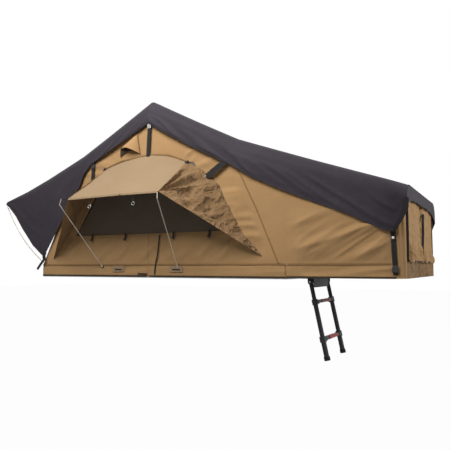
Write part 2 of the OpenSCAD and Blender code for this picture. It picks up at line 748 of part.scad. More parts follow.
// Wavy band seen from above, as hanging cloth folds
module waves(y0, y1, folds, depth) {
    n = 10 * folds;
    front = [for (k = [0 : n]) [depth / 2 * sin(360 * folds * k / n), mix(y0, y1, k / n)]];
    polygon(concat(front, [for (k = [n : -1 : 0]) front[k] - [cloth_t, 0]]));
}
module end_curtains() {
    top = fly_top_at(porch_x) - porch_drop;
    edge = half_w - 1;
    color(canvas) from_fold() translate([porch_x - curtain_wave, 0, band_top])
        linear_extrude(top - band_top) {
            waves(-edge, -curtain_gap / 2, curtain_folds, curtain_wave);
            waves(curtain_gap / 2, edge, curtain_folds, curtain_wave);
        }
}
module end_band() {
    color(canvas) from_fold() translate([porch_x - curtain_wave, 0, porch_hem])
        linear_extrude(band_top - porch_hem) waves(-half_w, half_w, band_pleats, curtain_wave * 0.8);
}
module corner_strap() {
    color(black) from_fold()
        strap(porch_x - strap_w - 16, porch_hem + 18, corner_strap_l, 0, 0.6 * corner_strap_l);
}

// Side awning, split at the fold: a sloping panel and a cheek on each side
module awning_panel(seam_end, corner) {
    middle = [0, seam_y, awning_top];
    middle_front = [0, front_y, awning_z];
    sag = 14;
    n = 6;
    m = 8;
    function spot(i, j) = mix(mix(middle, seam_end, j / m), mix(middle_front, corner, j / m), i / n)
        + [0, 0, sag * (sin(90 * j / m) * (1 - i / n) - sin(180 * i / n))];
    grid = [for (i = [0 : n]) [for (j = [0 : m]) spot(i, j)]];
    thick = [0, -cloth_t * 0.6, cloth_t * 0.8];
    if (corner[0] < 0) sheet([for (r = grid) [for (p = r) p + thick]], grid);
    else sheet(grid, [for (r = grid) [for (p = r) p + thick]]);
}
// Slack cloth between the panel's corner and a line on the wall
module cheek(corner, wall_line, side, folds) {
    n = 7;
    fine = finer(wall_line, 8);
    m = len(fine) - 1;
    slack = [0.6 * side, -0.5, 0.6] * cheek_slack;
    function spot(i, j) = let (t = 0.04 + 0.96 * i / n)
        mix(corner, fine[j], t) + slack * sin(180 * t) * sin(folds * 180 * j / m);
    grid = [for (i = [0 : n]) [for (j = [0 : m]) spot(i, j)]];
    thick = [-0.6 * side, 0.5, -0.6] * cloth_t;
    if (side > 0) sheet(grid, [for (r = grid) [for (p = r) p + thick]]);
    else sheet([for (r = grid) [for (p = r) p + thick]], grid);
}
function on_wall(p) = [p[0], seam_y - 2, p[1]];
module awning_left() {
    seam_end = [-awning_left_x, seam_y, awning_top - awning_end_drop];
    corner = [-corner_left_x, front_y, awning_z];
    color(canvas) from_fold() {
        awning_panel(seam_end, corner);
        cheek(corner + [-3, -3, -6], [seam_end + [-5, -2, -8], on_wall(cheek_left_foot)], -1, 1);
    }
}
module awning_right() {
    seam_end = [awning_right_x, seam_y, awning_top - awning_end_drop];
    corner = [corner_right_x, front_y, awning_z];
    wall_line = [seam_end + [5, -2, -8], on_wall(cheek_right_bend), on_wall(cheek_right_foot)];
    color(canvas) from_fold() {
        awning_panel(seam_end, corner);
        cheek(corner + [3, -3, -6], wall_line, 1, 5);
    }
}
module awning_rod(x, knee, tip) {
    foot = [x, -wall_y - rod_ball_d / 2 - 2, rod_foot_z];
    color(steel) from_fold() {
        rod_run([foot, knee, tip], rod_d);
        translate(foot) sphere(d = rod_ball_d);
    }
}
rod_tip_y = front_y - 8;
module awning_rod_left() {
    knee = [-corner_left_x - rod_knee_out, rod_tip_y, awning_z - rod_hook];
    awning_rod(-rod_left_x, knee, knee + [0.45 * rod_hook, 0, rod_hook]);
}
module awning_rod_right() {
    knee = [corner_right_x - 4, rod_tip_y, awning_z - rod_hook - 8];
    awning_rod(rod_right_x, knee, knee + [0, 0, 0.9 * rod_hook]);
}

// Ladder: drawn hanging straight down from its pin, then leaned out
module at_ladder() {
    from_fold() translate([ladder_x, 0, -ladder_drop]) rotate([0, -ladder_a, 0]) children();
}
module rails(d, wall, from, to) {
    both_sides() translate([0, ladder_w / 2, -to]) linear_extrude(to - from) ring_2d(d, wall);
}
module collars(inner_d, at) {
    d = inner_d + 2 * collar_wall;
    both_sides() difference() {
        union() {
            translate([0, ladder_w / 2, -at - collar_h / 2]) cylinder(d = d, h = collar_h);
            translate([-rung_w / 2 - 3, ladder_w / 2 - d / 2 - 22, -at - rung_h / 2 - 3])
                cube([rung_w + 6, 30, rung_h + 6]);
        }
        translate([0, ladder_w / 2, -at - collar_h]) cylinder(d = inner_d, h = 2 * collar_h);
        translate([-rung_w / 2, ladder_w / 2 - d / 2 - 30, -at - rung_h / 2]) cube([rung_w, 24, rung_h]);
    }
}
function rung_half(inner_d) = ladder_w / 2 - inner_d / 2 - collar_wall - 8;
module rung(inner_d, at) {
    l = 2 * rung_half(inner_d);
    slot_y = l / 2 - 24 - latch_l - latch_travel;
    difference() {
        translate([-rung_w / 2, -l / 2, -at - rung_h / 2]) cube([rung_w, l, rung_h]);
        translate([-rung_w / 2 + 3, -l / 2 - 1, -at - rung_h / 2 + 8]) cube([rung_w - 6, l + 2, rung_h - 11]);
        both_sides() translate([-8 - latch_play, slot_y - latch_play, -at - rung_h / 2 - 1])
            cube([16 + 2 * latch_play, latch_l + latch_travel + 2 * latch_play, 6 + latch_play]);
    }
}
module latch(inner_d, at) {
    y = rung_half(inner_d) - 24 - latch_l;
    translate([-8, y, -at - rung_h / 2 - 4]) cube([16, latch_l, 9]);
}
module tread(at) {
    translate([-rung_w / 2 - tread_t, -tread_l / 2, -at + rung_h / 2])
        cube([rung_w + 2 * tread_t, tread_l, tread_t]);
    for (x = [-rung_w / 2 - tread_t, rung_w / 2])
        translate([x, -tread_l / 2, -at - rung_h / 2]) cube([tread_t, tread_l, rung_h]);
}
module ladder_bracket() {
    ear_gap = rail_top_d + 1;
    plate_w = ladder_w + 80;
    color(black) from_fold() {
        translate([ladder_x + ladder_ear_w / 2 - ladder_plate_l, -plate_w / 2, -plate_t])
            cube([ladder_plate_l, plate_w, plate_t]);
        both_sides() for (y = [ladder_w / 2 - ear_gap / 2 - plate_t, ladder_w / 2 + ear_gap / 2])
            difference() {
                union() {
                    translate([ladder_x - ladder_ear_w / 2, y, -ladder_drop])
                        cube([ladder_ear_w, plate_t, ladder_drop]);
                    y_pin(ladder_x, -ladder_drop, y, y + plate_t, ladder_ear_w);
                }
                y_pin(ladder_x, -ladder_drop, y - 1, y + plate_t + 1, pin_d + 2 * pin_play);
            }
    }
}
module ladder_pins() {
    end = rail_top_d / 2 + 0.5 + plate_t;
    color(steel) from_fold() both_sides() {
        y_pin(ladder_x, -ladder_drop, ladder_w / 2 - end, ladder_w / 2 + end, pin_d);
        y_pin(ladder_x, -ladder_drop, ladder_w / 2 + end, ladder_w / 2 + end + 5, pin_d + 6);
    }
}
module ladder_top_rails() {
    eye_half = rail_top_d / 2 - 3;
    color(black) at_ladder() difference() {
        union() {
            rails(rail_top_d, tube_wall, 12, rung_1 + tube_lap);
            both_sides() y_pin(0, 0, ladder_w / 2 - eye_half, ladder_w / 2 + eye_half, 28);
        }
        both_sides() y_pin(0, 0, ladder_w / 2 - rail_top_d, ladder_w / 2 + rail_top_d, pin_d + 2 * pin_play);
    }
}
module ladder_mid_rails() {
    color(black) at_ladder() rails(mid_tube_d, tube_wall, rung_1 - collar_h / 2, rung_2 + tube_lap);
}
module ladder_mid_collars() { color(black) at_ladder() collars(mid_tube_d, rung_1); }
module ladder_mid_rung() { color(black) at_ladder() rung(mid_tube_d, rung_1); }
module ladder_mid_tread() { color(red) at_ladder() tread(rung_1); }
module ladder_low_rails() {
    color(black) at_ladder() rails(low_tube_d, tube_wall, rung_2 - collar_h / 2, ladder_foot - 8);
}
module ladder_low_collars() { color(black) at_ladder() collars(low_tube_d, rung_2); }
module ladder_low_rung() { color(black) at_ladder() rung(low_tube_d, rung_2); }
module ladder_low_tread() { color(red) at_ladder() tread(rung_2); }
module ladder_feet() {
    color(black) at_ladder() both_sides() difference() {
        translate([0, ladder_w / 2, -ladder_foot]) cylinder(d = low_tube_d + 8, h = 30);
        translate([0, ladder_w / 2, -ladder_foot + 8]) cylinder(d = low_tube_d, h = 40);
    }
}
module mid_latch_near() { color(red) at_ladder() mirror([0, 1, 0]) latch(mid_tube_d, rung_1); }
module mid_latch_far() { color(red) at_ladder() latch(mid_tube_d, rung_1); }
module low_latch_near() { color(red) at_ladder() mirror([0, 1, 0]) latch(low_tube_d, rung_2); }
module low_latch_far() { color(red) at_ladder() latch(low_tube_d, rung_2); }

fixed_frame();
fixed_panel();
mounting_rails();
fixed_mattress();
fixed_hinge_plates();
hinge_pins();
left_bow_pins();
fixed_rod_brackets();
fixed_skirt();
left_roof();
left_walls();
left_mesh();
vent_hood();
fly_left();
left_straps();
fold_frame();
fold_panel();
fold_mattress();
fold_hinge_plates();
right_bow_pins();
fold_rod_brackets();
fold_skirt();
right_roof();
right_walls();
right_mesh();
fly_right();
ladder_bracket();
ladder_pins();
left_bow();
middle_bow();
right_bow();
fly_hoop();
hood_rods();
fly_hood();
porch_rods();
fly_porch();
porch_walls();
end_curtains();
end_band();
corner_strap();
awning_left();
awning_right();
awning_rod_left();
awning_rod_right();
ladder_top_rails();
ladder_mid_rails();
ladder_mid_collars();
ladder_mid_rung();
ladder_mid_tread();
ladder_low_rails();
ladder_low_collars();
ladder_low_rung();
ladder_low_tread();
ladder_feet();
mid_latch_near();
mid_latch_far();
low_latch_near();
low_latch_far();
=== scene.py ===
import math

import bmesh
import bpy
import numpy as np
from mathutils import Matrix, Vector, noise


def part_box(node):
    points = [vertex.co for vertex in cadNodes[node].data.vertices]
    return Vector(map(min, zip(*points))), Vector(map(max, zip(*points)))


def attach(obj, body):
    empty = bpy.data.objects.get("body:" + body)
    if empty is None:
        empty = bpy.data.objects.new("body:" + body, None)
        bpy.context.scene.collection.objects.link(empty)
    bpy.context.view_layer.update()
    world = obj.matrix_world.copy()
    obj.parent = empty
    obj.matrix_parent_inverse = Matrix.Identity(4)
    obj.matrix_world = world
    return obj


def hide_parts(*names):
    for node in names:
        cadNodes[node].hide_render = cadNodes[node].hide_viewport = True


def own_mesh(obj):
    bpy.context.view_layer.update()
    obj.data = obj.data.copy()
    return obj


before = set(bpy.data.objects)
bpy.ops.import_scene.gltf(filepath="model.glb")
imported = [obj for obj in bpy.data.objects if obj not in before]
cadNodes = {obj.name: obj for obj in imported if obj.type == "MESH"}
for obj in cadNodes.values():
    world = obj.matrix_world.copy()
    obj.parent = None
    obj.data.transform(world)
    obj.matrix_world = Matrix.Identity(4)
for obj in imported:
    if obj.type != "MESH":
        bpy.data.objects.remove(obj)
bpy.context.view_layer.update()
print("frame loaded:", len(cadNodes), "nodes")

# Metres. Pieces are laid out with x counted from the fold axis, as the tent is built, and moved by foldX.
foldX = 0.6
seamX = 0.001  # where the cloth of each half begins beside the fold axis
wallY = 0.693
flyY = 0.719
clothThick = 0.002
netThick = 0.0008
tapeThick = 0.0015


# Colours and nodes

def linear(code):
    values = [int(code[i:i + 2], 16) / 255 for i in (1, 3, 5)]
    return [c / 12.92 if c <= 0.04045 else ((c + 0.055) / 1.055) ** 2.4 for c in values] + [1.0]


def addNode(tree, kind, settings=None, links=None):
    made = tree.nodes.new(kind)
    for key, value in (settings or {}).items():
        if isinstance(key, str) and key in made.bl_rna.properties:
            setattr(made, key, value)
        else:
            made.inputs[key].default_value = value
    for key, source in (links or {}).items():
        tree.links.new(source, made.inputs[key])
    return made


def newMaterial(name):
    material = bpy.data.materials.new(name)
    material.use_nodes = True
    tree = material.node_tree
    tree.nodes.clear()
    surface = addNode(tree, "ShaderNodeBsdfPrincipled")
    addNode(tree, "ShaderNodeOutputMaterial", links={"Surface": surface.outputs[0]})
    return material, tree, surface


def dress(tree, surface, colour, normal, values):
    tree.links.new(colour, surface.inputs["Base Color"])
    tree.links.new(normal, surface.inputs["Normal"])
    for socket, value in values.items():
        surface.inputs[socket].default_value = value


def mixColours(tree, factor, first, second):
    settings, links = {"data_type": "RGBA"}, {}
    for socket, value in ((0, factor), (6, first), (7, second)):
        (links if isinstance(value, bpy.types.NodeSocket) else settings)[socket] = value
    return addNode(tree, "ShaderNodeMix", settings, links).outputs[2]


def objectPlace(tree):
    return addNode(tree, "ShaderNodeTexCoord").outputs["Object"]


def clouds(tree, place, scale, detail, rough=0.5, twist=0.0):
    settings = {"Scale": scale, "Detail": detail, "Roughness": rough, "Distortion": twist}
    return addNode(tree, "ShaderNodeTexNoise", settings, {"Vector": place}).outputs


def cells(tree, place, scale):
    return addNode(tree, "ShaderNodeTexVoronoi", {"Scale": scale}, {"Vector": place}).outputs["Distance"]


def relief(tree, height, strength, distance, under=None):
    links = {"Height": height}
    if under is not None:
        links["Normal"] = under
    return addNode(tree, "ShaderNodeBump", {"Strength": strength, "Distance": distance}, links).outputs[0]


# Facets of about 8 and 3 cm, as in cloth that was balled up.
def crumpleHeight(tree, place, large=13.0, small=34.0, smallShare=0.35, wander=0.12):
    drift = clouds(tree, place, scale=7.0, detail=3.0)["Color"]
    moved = addNode(tree, "ShaderNodeVectorMath", {"operation": "MULTIPLY_ADD", 1: (wander, wander, wander)},
                    {0: drift, 2: place}).outputs[0]
    return addNode(tree, "ShaderNodeMath", {"operation": "MULTIPLY_ADD", 1: smallShare},
                   {0: cells(tree, moved, small), 2: cells(tree, moved, large)}).outputs[0]


# Poly-cotton canvas: dull and warm, the dye a little uneven, with creases pressed in by packing.
# The real thread is about 0.5 mm; the weave is drawn at 5 mm so that it shows.
def canvasCloth(name, main, shade, pale, crumple=0.0):
    material, tree, surface = newMaterial(name)
    place = objectPlace(tree)
    blotch = clouds(tree, place, scale=4.0, detail=6.0, rough=0.62)["Fac"]
    fleck = clouds(tree, place, scale=160.0, detail=3.0, rough=0.7)["Fac"]
    crease = clouds(tree, place, scale=11.0, detail=5.0, twist=0.6)["Fac"]
    dyed = mixColours(tree, blotch, linear(shade), linear(pale))
    flecked = mixColours(tree, fleck, linear(main), linear(shade))
    threads = {"Scale": 63.0, "Distortion": 0.6}
    warp, weft = (addNode(tree, "ShaderNodeTexWave", {**threads, "bands_direction": way}, {"Vector": place})
                  for way in "XZ")
    weave = addNode(tree, "ShaderNodeMath", {"operation": "MULTIPLY"},
                    {0: warp.outputs["Fac"], 1: weft.outputs["Fac"]}).outputs[0]
    normal = relief(tree, weave, strength=0.2, distance=0.0006)
    normal = relief(tree, crease, strength=0.4, distance=0.012, under=normal)
    if crumple:
        normal = relief(tree, crumpleHeight(tree, place), strength=crumple, distance=0.03, under=normal)
    dress(tree, surface, mixColours(tree, 0.5, dyed, flecked), normal,
          {"Roughness": 0.9, "Specular IOR Level": 0.2, "Sheen Weight": 0.06, "Sheen Roughness": 0.6})
    return material


# Coated polyester: close-woven, dark and faintly shiny, so that it greys where light grazes it.
def flyCloth():
    material, tree, surface = newMaterial("coatedPolyester")
    place = objectPlace(tree)
    blotch = clouds(tree, place, scale=3.5, detail=5.0, rough=0.6)["Fac"]
    grain = clouds(tree, place, scale=420.0, detail=2.0)["Fac"]
    crease = clouds(tree, place, scale=8.0, detail=4.0, twist=0.8)["Fac"]
    normal = relief(tree, grain, strength=0.15, distance=0.0005)
    normal = relief(tree, crease, strength=0.35, distance=0.014, under=normal)
    dress(tree, surface, mixColours(tree, blotch, linear("#29252a"), linear("#373239")), normal,
          {"Roughness": 0.7, "Specular IOR Level": 0.15, "Sheen Weight": 0.03})
    return material


# Insect net: knitted, with 1 mm holes that are finer than a pixel, so they are drawn as a speckle of 4 mm.
def netCloth():
    material, tree, surface = newMaterial("insectNet")
    place = objectPlace(tree)
    holes = cells(tree, place, 250.0)
    # The real net is black: its grey-brown, the lighter holes and the patchy variation are painted light from
    # inside the tent showing through.
    patchyLightBehind = clouds(tree, place, scale=3.0, detail=3.0)["Fac"]
    knitAndLightBehind = mixColours(tree, holes, linear("#4b4237"), linear("#7a6e5f"))
    normal = relief(tree, holes, strength=0.3, distance=0.001)
    dress(tree, surface, mixColours(tree, patchyLightBehind, knitAndLightBehind, linear("#65594d")), normal,
          {"Roughness": 0.85, "Specular IOR Level": 0.2})
    return material


# Fine-grained finishes: woven webbing, moulded plastics, rubber, anodised, drawn and plated metal.
def grainFinish(name, main, second, rough, metallic=0.0, scale=90.0, depth=0.0004, specular=0.5, stretch=1.0):
    material, tree, surface = newMaterial(name)
    drawn = addNode(tree, "ShaderNodeMapping", {"Scale": (1.0, stretch, 1.0)}, {"Vector": objectPlace(tree)})
    grain = clouds(tree, drawn.outputs[0], scale, detail=4.0, rough=0.65)["Fac"]
    wear = {"To Min": rough - 0.08, "To Max": rough + 0.08}
    worn = addNode(tree, "ShaderNodeMapRange", wear, {"Value": grain})
    tree.links.new(worn.outputs[0], surface.inputs["Roughness"])
    normal = relief(tree, grain, strength=0.2, distance=depth)
    dress(tree, surface, mixColours(tree, grain, linear(main), linear(second)), normal,
          {"Metallic": metallic, "Specular IOR Level": specular})
    return material


fine = 0.0002  # depth of the grain on metal
finishes = {
    "canvas": canvasCloth("canvasKhaki", "#a5825a", "#937148", "#ab8a60"),
    # The same canvas as the walls, drawn darker and greyer: painted shade and a painted sheen of the sky.
    "awning": canvasCloth("canvasAwningPaintedShadeAndSheen", "#927b5e", "#836c50", "#998367"),
    "curtain": canvasCloth("canvasCurtain", "#a5825a", "#937148", "#ab8a60", 0.6),
    # Darker than the canvas it is cut from: painted shade of crumpled cloth, used on the right cheek and on
    # the end band.
    "crumpled": canvasCloth("canvasCrumpledPaintedShade", "#866845", "#6e5436", "#8e7150", 0.9),
    # A darker copy of the wall canvas, as painted shade: it darkens the inside of the left cheek and draws
    # the shadow along seam lines.
    "shadedCanvas": canvasCloth("canvasPaintedShade", "#87673f", "#735634", "#8f7046"),
    "fly": flyCloth(),
    "net": netCloth(),
    "webbing": grainFinish("wovenWebbing", "#131113", "#221f21", 0.8, scale=260.0, specular=0.3),
    # Real dark binding on the hems, also used as painted shade: the shadow under the curtains' foot and the
    # shade in the vent's mouth.
    "bindingAndShade": grainFinish("darkBindingAndShade", "#2c231b", "#3a2f25", 0.8, scale=200.0, specular=0.2),
    "tape": grainFinish("paleTape", "#b9a98f", "#a39379", 0.8, scale=200.0, specular=0.2),
    "plastic": grainFinish("mouldedNylon", "#141316", "#201f22", 0.5, scale=300.0),
    "ladder": grainFinish("anodisedAluminium", "#17171a", "#232327", 0.42, 0.3, 120.0, fine),
    "red": grainFinish("redNylon", "#a52f28", "#8a241e", 0.5, scale=220.0),
    "rubber": grainFinish("mouldedRubber", "#131314", "#1d1d1e", 0.85, scale=180.0, specular=0.3),
    "alloy": grainFinish("extrudedAluminium", "#b4b6b8", "#c6c8ca", 0.38, 0.9, 60.0, fine, stretch=12.0),
    "sheet": grainFinish("brushedAluminiumSheet", "#8f9193", "#a3a5a7", 0.45, 0.8, 40.0, fine, stretch=20.0),
    "steel": grainFinish("springSteel", "#d2c8b8", "#b9ae9c", 0.35, 0.6, 80.0, fine),
    "pin": grainFinish("platedSteel", "#b9b8b4", "#a5a4a0", 0.3, 0.95, 90.0, fine),
    "cover": grainFinish("knittedCover", "#cfc7ba", "#b9b0a2", 0.95, scale=240.0, depth=0.001, specular=0.2),
}
print("finishes made:", len(finishes))


# Making cloth

def swell(x, z, seed):
    return noise.noise(Vector((x, z, seed * 7.31 + 0.5)))  # a seed picks its own layer of the noise


def swollen(x, z, rows):
    # rows hold a depth, waves a metre along x and along z, and a seed
    return sum(depth * swell(x * wavesX, z * wavesZ, seed) for depth, wavesX, wavesZ, seed in rows)


def folds(x, z, angle, spacing, length, seed):
    # creases that run at an angle in degrees
    a = math.radians(angle)
    along, across = x * math.cos(a) + z * math.sin(a), z * math.cos(a) - x * math.sin(a)
    return swell(across / spacing, along / length, seed)


def crest(value, sharpness=2.6):
    return 1 - min(1.0, abs(value) * sharpness)  # turns soft noise into narrow crests


def smooth(t):
    t = min(1.0, max(0.0, t))
    return t * t * (3 - 2 * t)


def patch(x, z, x0, x1, z0, z1, rim):
    # 1 inside a region of the cloth, fading out over its rim
    return smooth((x - x0) / rim) * smooth((x1 - x) / rim) * smooth((z - z0) / rim) * smooth((z1 - z) / rim)


def creased(x, z, rows, total=0.0):
    # rows hold a depth, angle, spacing, length and seed, then the region's x0, x1, z0, z1 and its rim
    for depth, angle, spacing, length, seed, region, rim in rows:
        total += depth * crest(folds(x, z, angle, spacing, length, seed)) * patch(x, z, *region, rim)
    return total


def between(a, b, t):
    return a + (b - a) * t


def heightAt(points, x):
    return float(np.interp(x, [p[0] for p in points], [p[1] for p in points]))


def onLine(points, t):
    pts = np.array(points, float)
    steps = np.linalg.norm(np.diff(pts, axis=0), axis=1)
    at = np.concatenate([[0], np.cumsum(steps)]) / steps.sum()
    return np.array([np.interp(t, at, pts[:, k]) for k in range(pts.shape[1])])


def addPatch(mesh, across, along, place):
    made = bmesh.ops.create_grid(mesh, x_segments=across, y_segments=along, size=0.5)
    for v in made["verts"]:
        x, y, z = place(v.co.x + 0.5, v.co.y + 0.5)
        v.co = (x + foldX, y, z)


def finishPiece(name, mesh, finish, body, replaced=(), thick=0.0, outward=None, smoothed=True):
    mergeGap = 0.0003
    bmesh.ops.remove_doubles(mesh, verts=mesh.verts, dist=mergeGap)
    area = sum(f.calc_area() for f in mesh.faces)
    bmesh.ops.recalc_face_normals(mesh, faces=mesh.faces)
    if outward is not None:
        facing = sum((f.normal * f.calc_area() for f in mesh.faces), Vector())
        if facing.dot(Vector(outward)) < 0:
            bmesh.ops.reverse_faces(mesh, faces=mesh.faces)
    for e in mesh.edges:
        e.smooth = not e.is_boundary  # keeps the shading flat up to a cut edge
    data = bpy.data.meshes.new(name)
    mesh.to_mesh(data)
    mesh.free()
    piece = bpy.data.objects.new(name, data)
    bpy.context.scene.collection.objects.link(piece)
    data.materials.append(finishes[finish])
    for polygon in data.polygons:
        polygon.use_smooth = smoothed
    if thick:
        shell = piece.modifiers.new("thickness", "SOLIDIFY")
        shell.thickness = thick
        shell.offset = -1
    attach(piece, body)
    if replaced:
        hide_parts(*replaced)
    return piece, area


def packDown(piece):
    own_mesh(piece)


def sewCloth(name, patches, finish, body, replaced, outward,
             thick=clothThick):
    mesh = bmesh.new()
    for across, along, place in patches:
        addPatch(mesh, across, along, place)
    piece, area = finishPiece(name, mesh, finish, body, replaced, thick, outward)
    packDown(piece)


def ribbon(name, points, width, body, finish="webbing", normal=(0, -1, 0), slot="webbing", rests=(),
           pack=True):
    # flat tape along points given in (x, y, z), lying square to normal
    pts = np.array(points, float)
    run = float(np.linalg.norm(np.diff(pts, axis=0), axis=1).sum())
    stepLength, probe = 0.02, 0.01
    mesh = bmesh.new()

    def place(u, v):
        ahead = onLine(pts, min(1.0, u + probe)) - onLine(pts, max(0.0, u - probe))
        side = np.cross(ahead, np.array(normal, float))
        return onLine(pts, u) + side / np.linalg.norm(side) * width * (v - 0.5)

    addPatch(mesh, max(6, int(run / stepLength)), 2, place)
    piece = finishPiece(name, mesh, finish, body, thick=tapeThick, outward=normal)[0]
    piece.modifiers["thickness"].offset = 1
    if pack:
        packDown(piece)
    return piece


def block(name, centre, size, finish, body, bevel=0.002, turn=0.0, slot="black_fitting", pack=True):
    mesh = bmesh.new()
    bmesh.ops.create_cube(mesh, size=1.0)
    bmesh.ops.scale(mesh, vec=size, verts=mesh.verts)
    bmesh.ops.bevel(mesh, geom=mesh.edges[:], offset=bevel, segments=2, profile=0.5, affect="EDGES",
                    material=-1)
    bmesh.ops.rotate(mesh, cent=(0, 0, 0), matrix=Matrix.Rotation(turn, 3, "Y"), verts=mesh.verts)
    bmesh.ops.translate(mesh, vec=(centre[0] + foldX, centre[1], centre[2]), verts=mesh.verts)
    piece = finishPiece(name, mesh, finish, body, smoothed=False)[0]
    if pack:
        packDown(piece)


# Tent body

bodyShape = {
    "ridge": 1.341, "left": (-0.7445, 1.0716), "right": (0.7916, 1.0342), "halfLength": 1.2,
    "skirtTop": 0.112, "shoulder": 0.08, "windowLow": 0.36, "windowTop": 0.915,
    "windowLowX": 0.8, "windowTopX": 0.43, "hemLift": 0.026, "hemLap": -0.014,
}
wallShape = {
    "offFrame": 0.0005, "split": 0.55, "hemFade": 0.05, "edgeFlat": 0.055, "edgeFade": 0.08,
    "farShift": 5,  # the far wall takes its creases from another place in the noise
    "swells": [(0.005, 2.1, 2.4, 1), (0.003, 6, 6, 2)],
    "creases": [
        (0.014, 4, 0.08, 0.6, 3, (0.62, 1.12, 0.22, 0.80), 0.12),  # beside the cheek
        (0.011, 28, 0.08, 0.7, 4, (0.33, 0.74, 0.84, 1.05), 0.06),  # to the right strap
        (0.010, -8, 0.08, 0.6, 5, (-0.72, -0.40, 0.86, 1.05), 0.06),  # to the left strap
        (0.017, 50, 0.12, 0.9, 6, (-0.95, 0.9, 0.10, 0.36), 0.10),  # below the window
    ],
}


def wallRelief(x, z):
    return creased(x, z, wallShape["creases"], swollen(x, z, wallShape["swells"]))


def sideWall(name, side, replaced, body, near=True):
    shape, wall = bodyShape, wallShape
    top = shape["left"] if side < 0 else shape["right"]
    sign = -1 if near else 1
    shift = 0 if near else wall["farShift"]
    base, low, high = shape["skirtTop"], shape["windowLow"], shape["windowTop"]
    rim, ridge = top[1] - shape["shoulder"], shape["ridge"] - shape["shoulder"]
    lowX, highX, inner = side * shape["windowLowX"], side * shape["windowTopX"], side * seamX
    split = (top[0] * wall["split"], between(ridge, rim, wall["split"]))

    def outerX(z):
        return side * between(shape["halfLength"], abs(top[0]), (z - base) / (rim - base))

    corners = [  # segments, then the four corners of a patch round the window
        (30, 22, (outerX(base), base), (lowX, base), (outerX(low), low), (lowX, low)),
        (56, 22, (lowX, base), (inner, base), (lowX, low), (inner, low)),
        (30, 44, (outerX(low), low), (lowX, low), (outerX(high), high), (highX, high)),
        (30, 26, (outerX(high), high), (highX, high), (top[0], rim), split),
        (56, 26, (highX, high), (inner, high), split, (inner, ridge)),
    ]
    if not near:
        corners.append((56, 44, (lowX, low), (inner, low), (highX, high), (inner, high)))

    def placer(a, b, c, d):
        def place(u, v):
            x, z = (between(between(a[k], b[k], u), between(c[k], d[k], u), v) for k in (0, 1))
            inside = (abs(outerX(z)) - abs(x) - wall["edgeFlat"]) / wall["edgeFade"]
            free = smooth((z - base) / wall["hemFade"]) * smooth(inside)
            return x, sign * (wallY + wall["offFrame"] + wallRelief(x + shift, z) * free), z
        return place

    sewCloth(name, [(n, m, placer(*rest)) for n, m, *rest in corners], "canvas", body, replaced,
             (0, sign, 0))


sideWall("leftWallNear", -1, ("left_walls",), "base_fixed")
sideWall("leftWallFar", -1, (), "base_fixed", near=False)
sideWall("rightWallNear", 1, ("right_walls",), "base_fold")
sideWall("rightWallFar", 1, (), "base_fold", near=False)

netShape = {"lap": 0.006, "behind": 0.004, "sag": 0.008, "waves": 4, "length": 0.56}


def netWindow(name, side, replaced, body):
    shape, net = bodyShape, netShape

    def place(u, v):
        z = between(shape["windowLow"] - net["lap"], shape["windowTop"] + net["lap"], v)
        x = side * u * between(shape["windowLowX"], shape["windowTopX"], v)
        sag = net["sag"] * math.sin(math.pi * v) * (1 + swell(x * net["waves"], z * net["waves"], 8))
        return x, -(wallY - net["behind"] - sag), z

    sewCloth(name, [(40, 30, place)], "net", body, replaced, (0, -1, 0),
             thick=netThick)


netWindow("leftNet", -1, ("left_mesh",), "base_fixed")
netWindow("rightNet", 1, ("right_mesh",), "base_fold")

roofShape = {
    "footRise": 0.008, "footRound": 0.008, "cornerStart": 0.8, "cornerFade": 0.1,
    "sag": 0.012, "swell": 0.004, "waves": 4, "length": 1.4,
}


def roofPoint(side, u, v):
    # u runs from the hem over the bow to the ridge, v from the near side to the far side
    shape, roof = bodyShape, roofShape
    top = shape["left"] if side < 0 else shape["right"]
    foot = np.array([side * shape["halfLength"], shape["skirtTop"] + roof["footRise"], roof["footRound"]])
    knee = np.array([top[0], top[1], shape["shoulder"]])
    ridge = np.array([side * seamX, shape["ridge"], shape["shoulder"]])
    outward = abs(v - 0.5) * 2
    # the rear hem clears the rods at its corners
    raised = 1.0 if side > 0 else smooth((outward - roof["cornerStart"]) / roof["cornerFade"])
    lift = between(shape["hemLap"], shape["hemLift"], raised)
    hem = between(foot, knee, lift / (top[1] - shape["skirtTop"]))
    x, z, r = between(hem, knee, u * 2) if u < 0.5 else between(knee, ridge, u * 2 - 1)
    half = wallY - r
    s = outward * (half + r * math.pi / 2)
    sign = -1 if v < 0.5 else 1
    if s <= half:
        sag = roof["sag"] * math.sin(math.pi * ((u * 2) % 1.0)) * math.cos(s / half * math.pi / 2)
        uneven = roof["swell"] * swell(x * roof["waves"], sign * s * roof["waves"], 9)
        return x, sign * s, z - sag + uneven
    a = (s - half) / r
    return x, sign * (half + r * math.sin(a)), z - r + r * math.cos(a)


def bodyRoof(name, side, replaced, body):
    sewCloth(name, [(50, 70, lambda u, v: roofPoint(side, u, v))], "canvas", body, replaced,
             (side * 0.4, 0, 1))


bodyRoof("leftRoof", -1, ("left_roof",), "base_fixed")
bodyRoof("rightRoof", 1, ("right_roof",), "base_fold")

rearDoor = {  # the zip's outline is given as u and v of roofPoint
    "outline": [(0.06, 0.18), (0.36, 0.18), (0.42, 0.24), (0.42, 0.76), (0.36, 0.82), (0.06, 0.82)],
    "facing": (-0.902, 0.0, 0.432), "off": 0.003, "points": 60, "width": 0.016,
}
doorOff = np.array(rearDoor["facing"]) * rearDoor["off"]
doorLine = [np.array(roofPoint(-1, *onLine(rearDoor["outline"], t))) + doorOff
            for t in np.linspace(0, 1, rearDoor["points"])]
ribbon("doorZip", doorLine, rearDoor["width"], "base_fixed", normal=rearDoor["facing"], rests=["left_roof"])
print("tent body made")


# Fly

